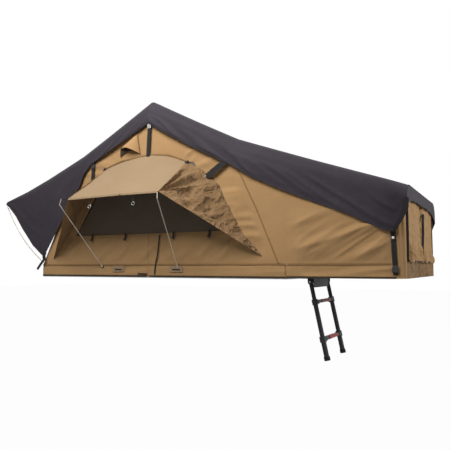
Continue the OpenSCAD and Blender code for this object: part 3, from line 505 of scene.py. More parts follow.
flyShape = {
    "top": [(-1.7, 0.724), (-0.7445, 1.0936), (0.0, 1.475), (0.7916, 1.066), (1.4, 0.846), (2.028, 0.622)],
    "sagEnds": [-1.7, -0.7445, 0.0, 0.7916, 2.028],
    "shoulder": [(-1.7, 0.024), (-1.45, 0.08), (-1.168, 0.1), (2.028, 0.1)],
    "hem": [(-1.7, 0.692), (-1.66, 0.665), (-1.561, 0.571), (-1.458, 0.442), (-1.316, 0.287),
            (-1.168, 0.178), (-0.8, 0.72), (-0.7445, 0.80), (-0.70, 0.90), (-0.625, 0.98), (-0.294, 1.135),
            (0.0, 1.272), (0.172, 1.17), (0.413, 1.036), (0.64, 0.92), (0.77, 0.855), (0.936, 0.752),
            (1.134, 0.657), (1.322, 0.573), (1.67, 0.431), (1.88, 0.326), (1.95, 0.31), (2.0, 0.40),
            (2.028, 0.462)],
    "sag": 0.012, "edgeSag": 0.3, "swell": 0.004, "cornerX": 1.878, "cornerR": 0.3, "leastDrop": 0.006,
    "sideShare": 0.36, "bendShare": 0.12,  # shares of a row for the side and for the shoulder
    "flare": 0.005, "flareSwell": 0.006, "closest": -0.003, "calmX": 2.0, "calmFade": 0.1,
    "frontCrease": (0.010, -19), "rearCrease": (0.006, 20),  # depth and angle
    "creaseSpacing": 0.11, "creaseLength": 0.9, "sideSwell": 0.006, "lengthShare": 1.1,
}


def cornerTurn(x):
    # the cloth turns in towards the porch end
    past = max(0.0, x - flyShape["cornerX"])
    return flyShape["cornerR"] - math.sqrt(flyShape["cornerR"] ** 2 - past ** 2)


def flySlack(x, s, drop, sign):
    # how far the side of the fly stands out at the share s of its height
    shape = flyShape
    flare = (shape["flare"] + shape["flareSwell"] * swell(x * 3.1, sign * 2.0, 11)) * (1 - s)
    depth, angle = shape["frontCrease"] if x > 0 else shape["rearCrease"]
    crease = crest(folds(x, s * drop, angle, shape["creaseSpacing"], shape["creaseLength"], 12 + sign))
    slack = depth * crease * smooth(s * 4) * smooth((1 - s) * 3)
    slack += shape["sideSwell"] * swell(x * 2.2, (1 - s) * drop * 3, 17)
    return max(shape["closest"], flare + slack * smooth((shape["calmX"] - x) / shape["calmFade"]))


def flyPoint(x, v):
    shape = flyShape
    top, r, hem = (heightAt(shape[key], x) for key in ("top", "shoulder", "hem"))
    knots = shape["sagEnds"]
    k = max(0, min(len(knots) - 2, int(np.searchsorted(knots, x, "right")) - 1))
    sag = shape["sag"] * math.sin(math.pi * (x - knots[k]) / (knots[k + 1] - knots[k]))
    edge = flyY - cornerTurn(x)
    half = edge - r
    sideShare, bendShare = shape["sideShare"], shape["bendShare"]
    sign = -1 if v < 0.5 else 1
    w = min(v, 1 - v) * 2
    if w < sideShare:
        s = w / sideShare
        drop = max(shape["leastDrop"], top - r - hem)
        return x, sign * (edge + flySlack(x, s, drop, sign)), hem + s * drop
    if w < sideShare + bendShare:
        a = (1 - (w - sideShare) / bendShare) * math.pi / 2
        z = top - r + r * math.cos(a) - sag * math.cos(a) * shape["edgeSag"]
        return x, sign * (half + r * math.sin(a)), z
    s = 1 - (w - sideShare - bendShare) / (1 - sideShare - bendShare)
    y = sign * half * s
    uneven = shape["swell"] * swell(x * 3, y * 3, 13) * smooth((1 - s) * 4)
    return x, y, top - sag * between(shape["edgeSag"], 1.0, math.cos(s * math.pi / 2)) + uneven


def flyPanel(name, x0, x1, replaced, body, count):
    sewCloth(name, [(count, 120, lambda u, v: flyPoint(between(x0, x1, u), v))], "fly", body, replaced,
             (0, 0, 1))


hoodEnd, leftBow, ridgeX, porchEnd = (flyShape["sagEnds"][k] for k in (0, 1, 2, 4))
baseEnd = bodyShape["halfLength"]
flyPanel("flyLeft", leftBow, ridgeX, ("fly_left",), "base_fixed", 70)
flyPanel("flyRight", ridgeX, baseEnd, ("fly_right",), "base_fold", 100)
flyPanel("flyPorch", baseEnd, porchEnd, ("fly_porch",), "porch", 90)
flyPanel("flyHood", hoodEnd, leftBow, ("fly_hood",), "hood", 90)

endFlap = {
    "x": 2.0275, "top": 0.625, "r": 0.1, "y": 0.679, "leastDrop": 0.002, "length": 1.36,
    "low": [(0.0, 0.536), (0.2, 0.54), (0.465, 0.533), (0.586, 0.51), (0.679, 0.464)],
    "lean": 0.004, "swell": 0.005, "calmY": 0.66, "calmFade": 0.05,
}


def endFlapPoint(u, v):
    flap = endFlap
    y = between(-flap["y"], flap["y"], u)
    over = max(0.0, abs(y) - (flap["y"] - flap["r"]))
    high = flap["top"] - flap["r"] + math.sqrt(max(0.0, flap["r"] ** 2 - over ** 2))
    low = min(heightAt(flap["low"], abs(y)), high - flap["leastDrop"])
    lean = (1 - v) * (flap["lean"] + flap["swell"] * swell(y * 4, 0.3, 15))
    return flap["x"] - lean * smooth((flap["calmY"] - abs(y)) / flap["calmFade"]), y, between(low, high, v)


sewCloth("flyEndFlap", [(120, 12, endFlapPoint)], "fly", "porch", (), (1, 0, 0))

# The fly's edge where it turns the corner, drawn in black webbing: partly its binding, partly painted shade
# of the turned strip.
edgeShadeStrip = {
    "atX": (1.948, 1.965, 1.98, 2.0, 2.014, 2.024), "off": 0.007, "rise": 0.012, "end": (2.026, -0.686, 0.53),
    "width": 0.026, "facing": (0.45, -1, 0),
}
edgeLine = [(x, -(flyY - cornerTurn(x)) - edgeShadeStrip["off"], heightAt(flyShape["hem"], x) + edgeShadeStrip["rise"])
            for x in edgeShadeStrip["atX"]]
ribbon("flyEdgeShadeStrip", edgeLine + [edgeShadeStrip["end"]], edgeShadeStrip["width"], "porch", normal=edgeShadeStrip["facing"],
       slot="fly_cloth", rests=["flyPorch"])
print("fly made")


# Porch

porchShape = {
    "endX": 1.953, "faceX": 2.008, "hem": 0.012, "bandTop": 0.126, "curtainX": 2.0,
    "roofLine": [(0.7916, 1.0562), (2.028, 0.625)], "belowFly": 0.066, "offWall": 0.003, "wallLength": 0.9,
    "seam": [(1.2045, 0.012), (1.2045, 0.104), (1.148, 0.115), (1.08, 0.276), (0.98, 0.51), (0.839, 0.797),
             (0.80, 0.90)],
    "bulge": 0.008, "startFade": 0.08, "endFade": 0.05, "swells": [(0.006, 2.4, 3, 23)],
    "creases": [
        (0.020, 24, 0.14, 1.1, 21, (1.2, 1.95, 0.08, 0.52), 0.14),  # up from the corner strap
        (0.008, 33, 0.06, 0.6, 24, (1.25, 1.95, 0.10, 0.42), 0.10),  # finer ones among them
        (0.012, 2, 0.07, 0.7, 22, (1.3, 2.1, -0.1, 0.13), 0.06),  # along the lower band
    ],
    "cornerCrease": 0.004, "cornerWaves": 3.2,
}


def porchTop(x):
    (x0, z0), (x1, z1) = porchShape["roofLine"]
    return between(z0, z1, (x - x0) / (x1 - x0)) - porchShape["belowFly"]


def porchSide(x, z):
    # how far out the side of the porch lies
    shape = porchShape
    startX = float(np.interp(z, [p[1] for p in shape["seam"]], [p[0] for p in shape["seam"]]))
    u = (x - startX) / (shape["endX"] - startX)
    v = (z - shape["hem"]) / (porchTop(x) - shape["hem"])
    slack = shape["bulge"] * math.sin(math.pi * u) * math.sin(math.pi * v) + swollen(x, z, shape["swells"])
    free = smooth(u / shape["startFade"]) * smooth((1 - u) / shape["endFade"])
    return wallY + shape["offWall"] - cornerTurn(x) + (creased(x, z, shape["creases"]) + slack) * free


def porchWall(name, near, replaced):
    sign = -1 if near else 1
    shape = porchShape
    lapX = shape["seam"][-1][0]
    seam = shape["seam"] + [(lapX, porchTop(lapX))]  # lapped over the end of the body wall
    lowStart, highStart = np.array(seam[0]), np.array(seam[-1])
    lowEnd = np.array([shape["endX"], shape["hem"]])
    highEnd = np.array([shape["endX"], porchTop(shape["endX"])])

    def place(u, v):
        start, end = onLine(seam, v), between(lowEnd, highEnd, v)
        low = between(lowStart, lowEnd, u)
        high = np.array([between(highStart[0], highEnd[0], u), 0.0])
        high[1] = porchTop(high[0])
        corners = between(low, between(highStart, highEnd, u), v)
        x, z = between(start, end, u) + between(low, high, v) - corners
        return x, sign * porchSide(x, z), z

    def corner(u, v):
        # round the corner from the side to the porch end, to the gap beside the curtain
        a = u * math.pi / 2
        deep = shape["faceX"] - shape["endX"]
        x = shape["endX"] + deep * math.sin(a)
        y = wallY + shape["offWall"] - cornerTurn(shape["endX"]) - deep * (1 - math.cos(a))
        z = between(shape["hem"], porchTop(x), v)
        wave = math.sin(shape["cornerWaves"] * math.pi * u + 1.5 * swell(u, v * 2, 25))
        crease = shape["cornerCrease"] * wave * math.sin(math.pi * u)
        return x + crease * math.sin(a), sign * (y + crease * math.cos(a)), z

    sewCloth(name, [(110, 80, place), (14, 80, corner)], "canvas", "porch", replaced,
             (0.2, sign, 0))


porchWall("porchWallNear", True, ("porch_walls",))
porchWall("porchWallFar", False, ())

curtainShape = {
    "foot": 0.118, "topGap": 0.004, "behind": 0.002, "length": 0.45,
    "hang": 0.006, "waves": 2.3, "topHang": 0.4,
    "bunch": 0.022, "bunchTop": 0.27, "bunchFade": 0.06,  # gathered at its foot
    "roll": 0.022, "rollShare": 0.09,  # rolled inwards at both edges
}


def endCurtain(name, y0, y1, replaced, seed):
    shape = curtainShape

    def place(u, v):
        y = between(y0, y1, u)
        z = between(shape["foot"], porchTop(porchShape["curtainX"]) - shape["topGap"], v)
        wave = math.sin(2 * math.pi * shape["waves"] * u + 2 * swell(u * 2, v * 1.5, seed))
        hang = shape["hang"] * wave * between(shape["topHang"], 1.0, 1 - v)
        gathered = smooth((shape["bunchTop"] - z) / shape["bunchFade"])
        bunch = shape["bunch"] * crest(folds(y, z, 70, 0.10, 0.25, seed + 1)) * gathered
        share = shape["rollShare"]
        roll = shape["roll"] * (smooth((share - u) / share) + smooth((u - (1 - share)) / share))
        return porchShape["faceX"] - shape["behind"] + hang + bunch - roll, y, z

    sewCloth(name, [(120, 50, place)], "curtain", "porch", replaced, (1, 0, 0))


endCurtain("curtainNear", -0.575, 0.0, ("end_curtains",), 31)
endCurtain("curtainFar", 0.07, 0.605, (), 35)

zipFacing = (0.5, -1, 0)
# Real zips, drawn wide and black so that they also paint the shade in the gaps beside the curtains.
ribbon("zipNearAndGapShade", [(2.004, -0.598, 0.125), (2.006, -0.598, 0.3), (2.006, -0.596, 0.47)], 0.026, "porch",
       normal=zipFacing, rests=["curtainNear"])
ribbon("zipMiddleAndGapShade", [(2.008, 0.035, 0.128), (2.010, 0.05, 0.25), (2.012, 0.072, 0.34), (2.012, 0.075, 0.43),
                     (2.012, 0.10, 0.49)], 0.018, "porch", normal=zipFacing, rests=["curtainFar"])
# A painted shadow: a dark strip where the curtains' gathered foot shades the band below.
ribbon("curtainFootShadow", [(2.016, -0.60, 0.126), (2.024, 0.0, 0.126), (2.016, 0.60, 0.126)], 0.010, "porch",
       "bindingAndShade", (1, 0, 0), "canvas", ["end_band"])

endBand = {
    "y": 0.638, "depth": 0.030, "pleats": 8, "valley": 0.6, "drift": 1.2, "topShare": 0.5, "length": 1.3,
}


def endBandPoint(u, v):
    band = endBand
    wave = abs(math.sin(math.pi * band["pleats"] * u + band["drift"] * swell(u * 6, v, 41)))
    pleat = band["depth"] * (wave - band["valley"])  # sharp valleys between round pleats
    x = porchShape["faceX"] + pleat * between(band["topShare"], 1.0, 1 - v)
    return x, between(-band["y"], band["y"], u), between(porchShape["hem"], porchShape["bandTop"], v)


# The band is drawn in the darker crumpled canvas: painted shade of its pleats.
sewCloth("endBand", [(240, 14, endBandPoint)], "crumpled", "porch", ("end_band",), (1, 0, 0))


def endNetPoint(u, v):
    # dark net behind the curtains' gaps
    behind, edge, low, topGap = 0.028, 0.66, 0.1, 0.006
    top = porchTop(porchShape["curtainX"]) - topGap
    return porchShape["faceX"] - behind, between(-edge, edge, u), between(low, top, v)


sewCloth("endNet", [(30, 12, endNetPoint)], "net", "porch", (), (1, 0, 0),
         thick=netThick)
print("porch made")


# Skirts round the base

skirtShape = {
    "endX": 1.203, "acrossX": 1.2025, "hem": 0.008, "height": 0.104, "corner": 0.002, "off": 0.001,
    "crease": 0.006, "swell": 0.003,
}


def skirt(name, side, sill, replaced, body):
    shape = skirtShape
    mesh = bmesh.new()
    start, end = side * seamX, side * shape["endX"]
    line = [(start, -wallY), (end, -wallY), (end, wallY), (start, wallY)]

    def place(u, v):
        p = onLine(line, u)
        across = abs(p[0]) > shape["acrossX"] and abs(p[1]) < wallY - shape["corner"]
        z = between(shape["hem"], sill if across else bodyShape["skirtTop"], v)
        out = np.array([side, 0.0]) if across else np.array([0.0, -1.0 if p[1] < 0 else 1.0])
        crease = shape["crease"] * crest(folds(p[0] + p[1], z, 1, 0.07, 1.1, 51))
        crease += shape["swell"] * swell(p[0] * 5 + p[1] * 5, z * 6, 52)
        q = p + out * max(0.0, crease + shape["off"]) * math.sin(math.pi * v) ** 0.5
        return q[0], q[1], z

    addPatch(mesh, 260, 14, place)
    piece, area = finishPiece(name, mesh, "canvas", body, replaced, clothThick, (side, 0, 0))


skirt("skirtFixed", -1, 0.112, ("fixed_skirt",), "base_fixed")
skirt("skirtFold", 1, 0.084, ("fold_skirt",), "base_fold")


# Mattresses

mattressShape = {"drawIn": 0.010, "crown": 0.010, "height": 0.049, "fill": 0.8}


def mattress(name, replaced, body):
    shape = mattressShape
    mesh = bmesh.new()
    bmesh.ops.create_cube(mesh, size=1.0)
    bmesh.ops.subdivide_edges(mesh, edges=mesh.edges[:], cuts=22, use_grid_fill=True)
    low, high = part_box(replaced)
    for v in mesh.verts:
        s, t, h = v.co.x + 0.5, v.co.y + 0.5, v.co.z + 0.5
        drawn = shape["drawIn"] * (1 - math.sin(math.pi * h))  # the boxed sides bulge at half height
        crown = shape["crown"] * math.sqrt(max(0.0, math.sin(math.pi * s) * math.sin(math.pi * t)))
        x = between(low[0] + drawn, high[0] - drawn, s)
        y = between(low[1] + drawn, high[1] - drawn, t)
        v.co = (x, y, low[2] + (shape["height"] + crown) * h)
    piece = finishPiece(name, mesh, "cover", body, (replaced,))[0]


mattress("mattressFixed", "fixed_mattress", "base_fixed")
mattress("mattressFold", "fold_mattress", "base_fold")
print("base cloth made")


# Side awning

awningShape = {
    "seamMiddle": 1.008, "seamY": -0.6955, "middleRise": 0.004, "seamCurve": 1.8, "length": 0.5,
    "cornerLeft": (-0.545, -1.055, 0.638), "cornerRight": (0.356, -1.055, 0.638),
    "wallLeft": [(-0.468, 0.93), (-0.684, 0.678), (-0.875, 0.40), (-1.07, 0.16)],
    "wallRight": [(0.365, 0.918), (0.514, 0.842), (0.662, 0.711), (0.782, 0.513), (0.870, 0.338),
                  (1.022, 0.165)],
    "sag": 0.016, "edgeSag": 0.6, "hemSag": 0.008, "ripples": [(0.006, 5, 2.2, 61), (0.003, 12, 3, 62)],
    "hemDrop": (0, -0.001, -0.004), "hemWidth": 0.014,
}
cheekShape = {
    "length": 0.9, "bulgeCurve": 0.85, "facing": (0.53, -0.54, 0.65), "offWall": 0.0002,
    "hollow": -0.012, "wave": 0.010, "swell": 0.006,  # the left cheek is nearly smooth
    "fan": 0.020, "fans": 11.0, "fanEnd": 0.42, "fanFade": 0.15,  # the right one fans out from its corner
    "crumples": [(0.026, 60, 0.10, 0.22, 65), (0.018, -25, 0.07, 0.18, 66)],  # a depth, then as for folds
    "sunk": 0.045, "crumpled": (0.22, 1.02, 0.2, 0.88, 0.16),
}


def awningHalf(name, side, replaced, body):
    shape, slack = awningShape, cheekShape
    corner = np.array(shape["cornerLeft"] if side < 0 else shape["cornerRight"])
    middle = np.array([0.0, corner[1], corner[2] + shape["middleRise"]])
    wallLine = [(x, shape["seamY"], z) for x, z in (shape["wallLeft"] if side < 0 else shape["wallRight"])]
    seamEnd = wallLine[0]
    outward = np.array(slack["facing"]) * (side, 1, 1)

    def panel(u, v):
        seamZ = between(shape["seamMiddle"], seamEnd[2], u ** shape["seamCurve"])
        p = between(np.array([seamEnd[0] * u, shape["seamY"], seamZ]), between(middle, corner, u), v)
        arch = math.sin(math.pi * v)
        sag = shape["sag"] * arch * between(shape["edgeSag"], 1.0, math.cos(u * math.pi / 2))
        sag += shape["hemSag"] * math.sin(math.pi * u) * v
        p[2] += swollen(p[0], v, shape["ripples"]) * arch - sag
        return p[0], min(p[1], shape["seamY"]), p[2]

    def leftLift(u, v):
        wave = slack["wave"] * math.sin(2.4 * math.pi * v)
        return slack["hollow"] + wave + slack["swell"] * swell(u * 3, v * 5, 63)

    def rightLift(u, v, x, z):
        wave = math.sin(slack["fans"] * math.pi * v ** 0.8 + 0.8 * swell(u * 2, v * 4, 64))
        fan = slack["fan"] * wave * smooth((slack["fanEnd"] - v) / slack["fanFade"])
        crumple = sum(depth * crest(folds(x, z, *fold)) for depth, *fold in slack["crumples"]) - slack["sunk"]
        return fan + crumple * patch(u, v, *slack["crumpled"]) + slack["swell"] * swell(u * 4, v * 8, 67)

    def cheek(u, v):
        p = between(corner, onLine(wallLine, v), u)
        lift = leftLift(u, v) if side < 0 else rightLift(u, v, p[0], p[2])
        arch = math.sin(math.pi * u ** slack["bulgeCurve"])
        p = p + outward * lift * arch * smooth(v / 0.04 + 0.1)
        return p[0], min(p[1], shape["seamY"] - slack["offWall"]), p[2]

    # The awning and its hem are drawn in a darker, greyer copy of the canvas: painted shade and a painted
    # sheen of the sky.
    sewCloth(name, [(56, 44, panel)], "awning", body, replaced, (0, -0.6, 0.6))
    # Both cheeks are drawn in darker copies of the canvas as painted shade, since they face away from the
    # light.
    sewCloth(name + "Cheek", [(90, 130, cheek)], "shadedCanvas" if side < 0 else "crumpled", body, (),
             (0.5 * side, -0.6, 0.6))
    hem = [between(middle, corner, t) + shape["hemDrop"] for t in (0.01, 0.5, 0.99)]
    ribbon(name + "Hem", hem, shape["hemWidth"], body, "awning", (0, -1, 0.2), "canvas", [name])


awningHalf("awningLeft", -1, ("awning_left",), "awning_left")
awningHalf("awningRight", 1, ("awning_right",), "awning_right")
print("awning made")


# Vent hood

vent = {
    "top": (-0.128, 1.208), "left": (-0.302, 1.092), "right": (-0.096, 1.032), "foot": (-0.303, 1.024),
    "reach": 0.055, "start": 0.08, "off": 0.006, "lipRise": 0.022, "roundness": 0.75, "length": 0.2,
    "holeOff": 0.0105, "holeTop": 0.03, "holeSill": 0.042, "sillGap": 0.004, "holeLength": 0.15,
}


def ventPoint(u, v):
    top, left, right = (np.array(vent[k]) for k in ("top", "left", "right"))
    down = between(vent["start"], 1.0, u)
    p = between(between(top, left, down), between(top, right, down), v)
    bow = math.sin(math.pi * v) ** vent["roundness"]
    return p[0], -(wallY + vent["off"] + vent["reach"] * u * bow), p[1] + vent["lipRise"] * u * u * bow


def ventHole(u, v):
    # the net in the hood's mouth, a crescent under its lip, drawn dark as painted shade inside the opening
    left, right, foot = (np.array(vent[k]) for k in ("left", "right", "foot"))
    arch = math.sin(math.pi * v)
    lip = between(left, right, v) + (0, vent["holeTop"] * arch)
    sill = between(foot, right - (0, vent["sillGap"]), v) + (0, vent["holeSill"] * arch)
    p = between(lip, sill, u)
    return p[0], -(wallY + vent["holeOff"]), p[1]


sewCloth("ventHood", [(18, 26, ventPoint)], "canvas", "base_fixed", ("vent_hood",), (0, -1, 0))
# The hood's mouth is drawn in dark binding cloth: painted shade inside the opening.
sewCloth("ventMouthShade", [(10, 10, ventHole)], "bindingAndShade", "base_fixed", (), (0, -1, 0),
         thick=netThick)


# Straps, seams and small fittings

sides = (("Near", 1), ("Far", -1))
halves = [
    {"side": -1, "label": "Fixed", "body": "base_fixed", "skirt": "fixed_skirt", "wall": "left_walls"},
    {"side": 1, "label": "Fold", "body": "base_fold", "skirt": "fold_skirt", "wall": "right_walls"},
]


def offWall(*points):
    # points given as x, the distance off the near wall, and z
    return [(x, -(wallY + off), z) for x, off, z in points]


def bothRibbons(name, points, lean=0.0, **more):
    # a tape on the near side and its mirror image on the far side
    made = [ribbon(name + label, [(x, y * sign, z) for x, y, z in points], normal=(lean, -sign, 0), **more)
            for label, sign in sides]
    return made[0]


# A seam line in the darker canvas: painted shadow along the hood's right edge.
ribbon("ventSeam", offWall((-0.124, 0.009, 1.20), (-0.108, 0.009, 1.10), (-0.094, 0.009, 1.03)), 0.010,
       "base_fixed", "shadedCanvas", slot="canvas", rests=["left_walls"])

straps = {  # width, body, what it lies on, lean, then points as for offWall
    "centreStrap": (0.034, "base_fixed", "left_walls", 0.0,
                    (0.012, 0.020, 1.276), (0.004, 0.018, 1.14), (-0.004, 0.016, 0.998)),
    "leftStrap": (0.034, "base_fixed", "left_walls", 0.0,
                  (-0.594, 0.022, 1.018), (-0.598, 0.020, 0.93), (-0.603, 0.018, 0.842)),
    "rightStrap": (0.048, "base_fold", "right_walls", 0.0,
                   (0.745, 0.026, 0.893), (0.63, 0.028, 0.820), (0.526, 0.022, 0.752)),
    "cornerStrap": (0.030, "porch", "porch_walls", 0.2,
                    (1.938, 0.0, 0.318), (1.941, 0.002, 0.2), (1.948, 0.0, 0.036)),
    "hoodTail": (0.026, "hood", "flyHood", 0.0,
                 (-1.138, 0.035, 0.172), (-1.19, 0.038, 0.118), (-1.238, 0.036, 0.066)),
    "hoodCornerPatch": (0.040, "hood", "flyHood", 0.0,
                        (-1.145, 0.034, 0.225), (-1.160, 0.035, 0.19), (-1.152, 0.036, 0.165)),
    "hoodRodLoop": (0.016, "hood", "flyHood", -0.5,
                    (-1.685, 0.0255, 0.702), (-1.706, 0.010, 0.688), (-1.724, -0.007, 0.667)),
}
for name, (width, body, under, lean, *points) in straps.items():
    bothRibbons(name, offWall(*points), lean, width=width, body=body, rests=[under])
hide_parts("left_straps")
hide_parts("corner_strap")

buckles = {  # centre as for offWall, size, finish, body and what else block takes
    "centreBuckle": ((0.010, 0.024, 1.248), (0.036, 0.006, 0.04), "pin", "base_fixed", {"slot": "pin_steel"}),
    "leftBuckle": ((-0.596, 0.024, 0.965), (0.038, 0.006, 0.036), "plastic", "base_fixed", {"turn": 0.05}),
    "rightKeeper": ((0.545, 0.024, 0.774), (0.012, 0.007, 0.042), "tape", "base_fold",
                    {"turn": 0.55, "slot": "webbing"}),
    "cornerSnap": ((1.939, 0.007, 0.272), (0.018, 0.008, 0.018), "pin", "porch",
                   {"slot": "pin_steel", "bevel": 0.004}),
    "cornerBuckle": ((1.947, 0.005, 0.072), (0.036, 0.009, 0.044), "plastic", "porch", {}),
}
for name, (centre, size, finish, body, more) in buckles.items():
    x, y, z = offWall(centre)[0]
    for label, sign in sides:
        block(name + label, (x, y * sign, z), size, finish, body, **more)

skirtTapes = {  # start beside the fold, distance off the wall, height, width and finish
    # bandSeam is drawn in the darker canvas: painted shadow of the fold at the skirt's top.
    "bandSeam": (0.003, 0.0062, 0.106, 0.010, "shadedCanvas"),
    "baseTrim": (0.012, 0.0045, 0.013, 0.013, "bindingAndShade"),
}
skirtTapeEnd = 1.198
zipStart, zipOff, zipWidth = 0.004, 0.003, 0.014  # of the far window, which is zipped shut
for half in halves:
    side, body = half["side"], half["body"]
    for name, (start, off, z, width, finish) in skirtTapes.items():
        bothRibbons(name + half["label"], offWall((side * start, off, z), (side * skirtTapeEnd, off, z)),
                    width=width, finish=finish, body=body, slot="canvas", rests=[half["skirt"]], pack=False)
    low, high = bodyShape["windowLow"], bodyShape["windowTop"]
    lowX, highX = bodyShape["windowLowX"], bodyShape["windowTopX"]
    outline = [(zipStart, high), (highX, high), (lowX, low), (zipStart, low)]
    closed = [onLine(outline, t) * (side, 1) for t in np.linspace(0, 1, 60)]
    zipLine = [(x, wallY + zipOff + wallRelief(x + wallShape["farShift"], z), z) for x, z in closed]
    ribbon("farWindowZip" + half["label"], zipLine, zipWidth, body, normal=(0, 1, 0), rests=[half["wall"]])

porchTapes = {  # from x, to x, height, width and finish
    # porchBandSeam is drawn in the darker canvas: painted shadow of the fold at the band's top.
    "porchBandSeam": (1.21, 1.92, 0.106, 0.010, "shadedCanvas"),
    "porchTrim": (1.206, 1.95, 0.017, 0.012, "bindingAndShade"),
}
porchTapeOff = 0.002
for name, (x0, x1, z, width, finish) in porchTapes.items():
    bothRibbons(name, [(x, -porchSide(x, z) - porchTapeOff, z) for x in np.linspace(x0, x1, 30)], width=width,
                finish=finish, body="porch", slot="canvas", rests=["porch_walls"])
# The porch seam is drawn in the darker canvas: painted shadow along the lapped edge.
bothRibbons("porchSeam", offWall(*[(x - 0.004, 0.0036, z) for x, z in reversed(porchShape["seam"][2:])]),
            width=0.010, finish="shadedCanvas", body="base_fold", slot="canvas", rests=["right_walls"])

# Seam lines in the darker canvas: painted shadow along the seam where the awning meets the wall.
ribbon("awningSeam", offWall((-0.468, 0.0075, 0.937), (-0.3, 0.0075, 0.986), (0.0, 0.0075, 1.014)), 0.010,
       "base_fixed", "shadedCanvas", slot="canvas", rests=["left_walls"])
ribbon("awningSeamRight", offWall((0.0, 0.0075, 1.014), (0.2, 0.0075, 0.99), (0.365, 0.0075, 0.925)), 0.010,
       "base_fold", "shadedCanvas", slot="canvas", rests=["right_walls"])
ribbon("awningLoop", offWall((-0.54, 0.363, 0.637), (-0.575, 0.367, 0.634), (-0.604, 0.3715, 0.634)), 0.012,
       "awning_left", rests=["awning_rod_left"])
ribbon("zipSlit", offWall((0.118, 0.010, 0.345), (0.098, 0.010, 0.184), (0.080, 0.010, 0.115)), 0.010,
       "base_fold", rests=["right_walls"])
ribbon("zipFoot", offWall((0.080, 0.008, 0.112), (0.070, 0.008, 0.032)), 0.012, "base_fold",
       rests=["fold_skirt"], pack=False)
# Painted shade: a black strip where the slot at the hinge opens into the base.
ribbon("foldSlitShade", offWall((-0.10, 0.008, 0.033), (-0.004, 0.008, 0.031)), 0.010, "base_fixed",
       rests=["fixed_skirt"], pack=False)

for x, half in zip((-0.306, 0.276), halves):
    more = {"body": half["body"], "rests": [half["skirt"]], "pack": False}
    ribbon("slotPatch" + half["label"], offWall((x - 0.062, 0.0072, 0.073), (x + 0.062, 0.0072, 0.073)),
           width=0.05, finish="awning", slot="canvas", **more)
    # The slot's opening is drawn as a black strip: painted shade inside it; the patch round it uses the
    # awning's darker, greyer canvas.
    ribbon("slot" + half["label"], offWall((x - 0.035, 0.0092, 0.068), (x + 0.04, 0.0092, 0.066)),
           width=0.010, **more)
for i, x in enumerate((-0.6, -0.233, 0.252, 0.583)):
    half = halves[x > 0]
    ribbon(f"toggleLoop{i}", offWall((x, 0.010, 0.368), (x + 0.004, 0.014, 0.34), (x - 0.006, 0.012, 0.312)),
           width=0.016, body=half["body"], rests=[half["wall"]])
    block(f"toggle{i}", offWall((x - 0.004, 0.018, 0.318))[0], (0.034, 0.010, 0.010), "plastic", half["body"],
          bevel=0.003, turn=0.35)
for i, (x, z, turn) in enumerate(((-0.468, 0.928, -0.9), (0.378, 0.914, -0.5))):
    block(f"awningToggle{i}", offWall((x, 0.016, z))[0], (0.034, 0.016, 0.016), "plastic",
          halves[x > 0]["body"], bevel=0.004, turn=turn)
block("ladderCrossPlate", (1.227, 0.0, -0.0385), (0.005, 0.37, 0.070), "ladder", "base_fold", bevel=0.001,
      slot="ladder_black", pack=False)

ringShape = {
    "radius": 0.013, "wire": 0.0025, "drop": 0.058, "tabLength": 0.045, "tabLean": 0.002, "tabWidth": 0.012,
}


def hangingRing(name, x, y, z, body):
    # webbing tab and a ring under the awning's front edge
    ring = ringShape
    tab = [(x, y, z), (x, y + ring["tabLean"], z - ring["tabLength"])]
    ribbon(name + "Tab", tab, ring["tabWidth"], body, rests=[body])
    mesh = bmesh.new()
    quarter = Matrix.Rotation(math.pi / 2, 3, "X")
    wireCentre = (ring["radius"], 0, 0)
    bmesh.ops.create_circle(mesh, segments=10, radius=ring["wire"])
    bmesh.ops.translate(mesh, vec=wireCentre, verts=mesh.verts)
    bmesh.ops.rotate(mesh, cent=wireCentre, matrix=quarter, verts=mesh.verts)
    bmesh.ops.spin(mesh, geom=mesh.verts[:] + mesh.edges[:], cent=(0, 0, 0), axis=(0, 0, 1),
                   angle=2 * math.pi, steps=24, use_merge=True)
    bmesh.ops.rotate(mesh, cent=(0, 0, 0), matrix=quarter, verts=mesh.verts)
    bmesh.ops.translate(mesh, vec=(x + foldX, y, z - ring["drop"]), verts=mesh.verts)
    piece = finishPiece(name, mesh, "pin", body)[0]
    packDown(piece)


hangingRing("ringLeft", -0.319, -1.045, 0.622, "awning_left")
hangingRing("ringRight", 0.117, -1.045, 0.622, "awning_right")
print("straps and fittings made")


# Rigid nodes keep their solids and get their finish

rigidFinish = {
    "alloy": ["fixed_frame", "fold_frame", "mounting_rails", "fixed_hinge_plates", "fold_hinge_plates",
              "left_bow", "middle_bow", "right_bow", "fly_hoop"],
    "sheet": ["fixed_panel", "fold_panel"],
    "pin": ["hinge_pins", "left_bow_pins", "right_bow_pins", "ladder_pins"],
    "plastic": ["fixed_rod_brackets", "fold_rod_brackets", "ladder_mid_collars", "ladder_low_collars"],
    "steel": ["hood_rods", "porch_rods", "awning_rod_left", "awning_rod_right"],
    "ladder": ["ladder_bracket", "ladder_top_rails", "ladder_mid_rails", "ladder_low_rails",
               "ladder_mid_rung", "ladder_low_rung"],
    "red": ["ladder_mid_tread", "ladder_low_tread", "mid_latch_near", "mid_latch_far", "low_latch_near",
            "low_latch_far"],
    "rubber": ["ladder_feet"],
}
for finish, names in rigidFinish.items():
    for node in names:
        cadNodes[node].data.materials.clear()
        cadNodes[node].data.materials.append(finishes[finish])
print("rigid pieces finished")


# Studio

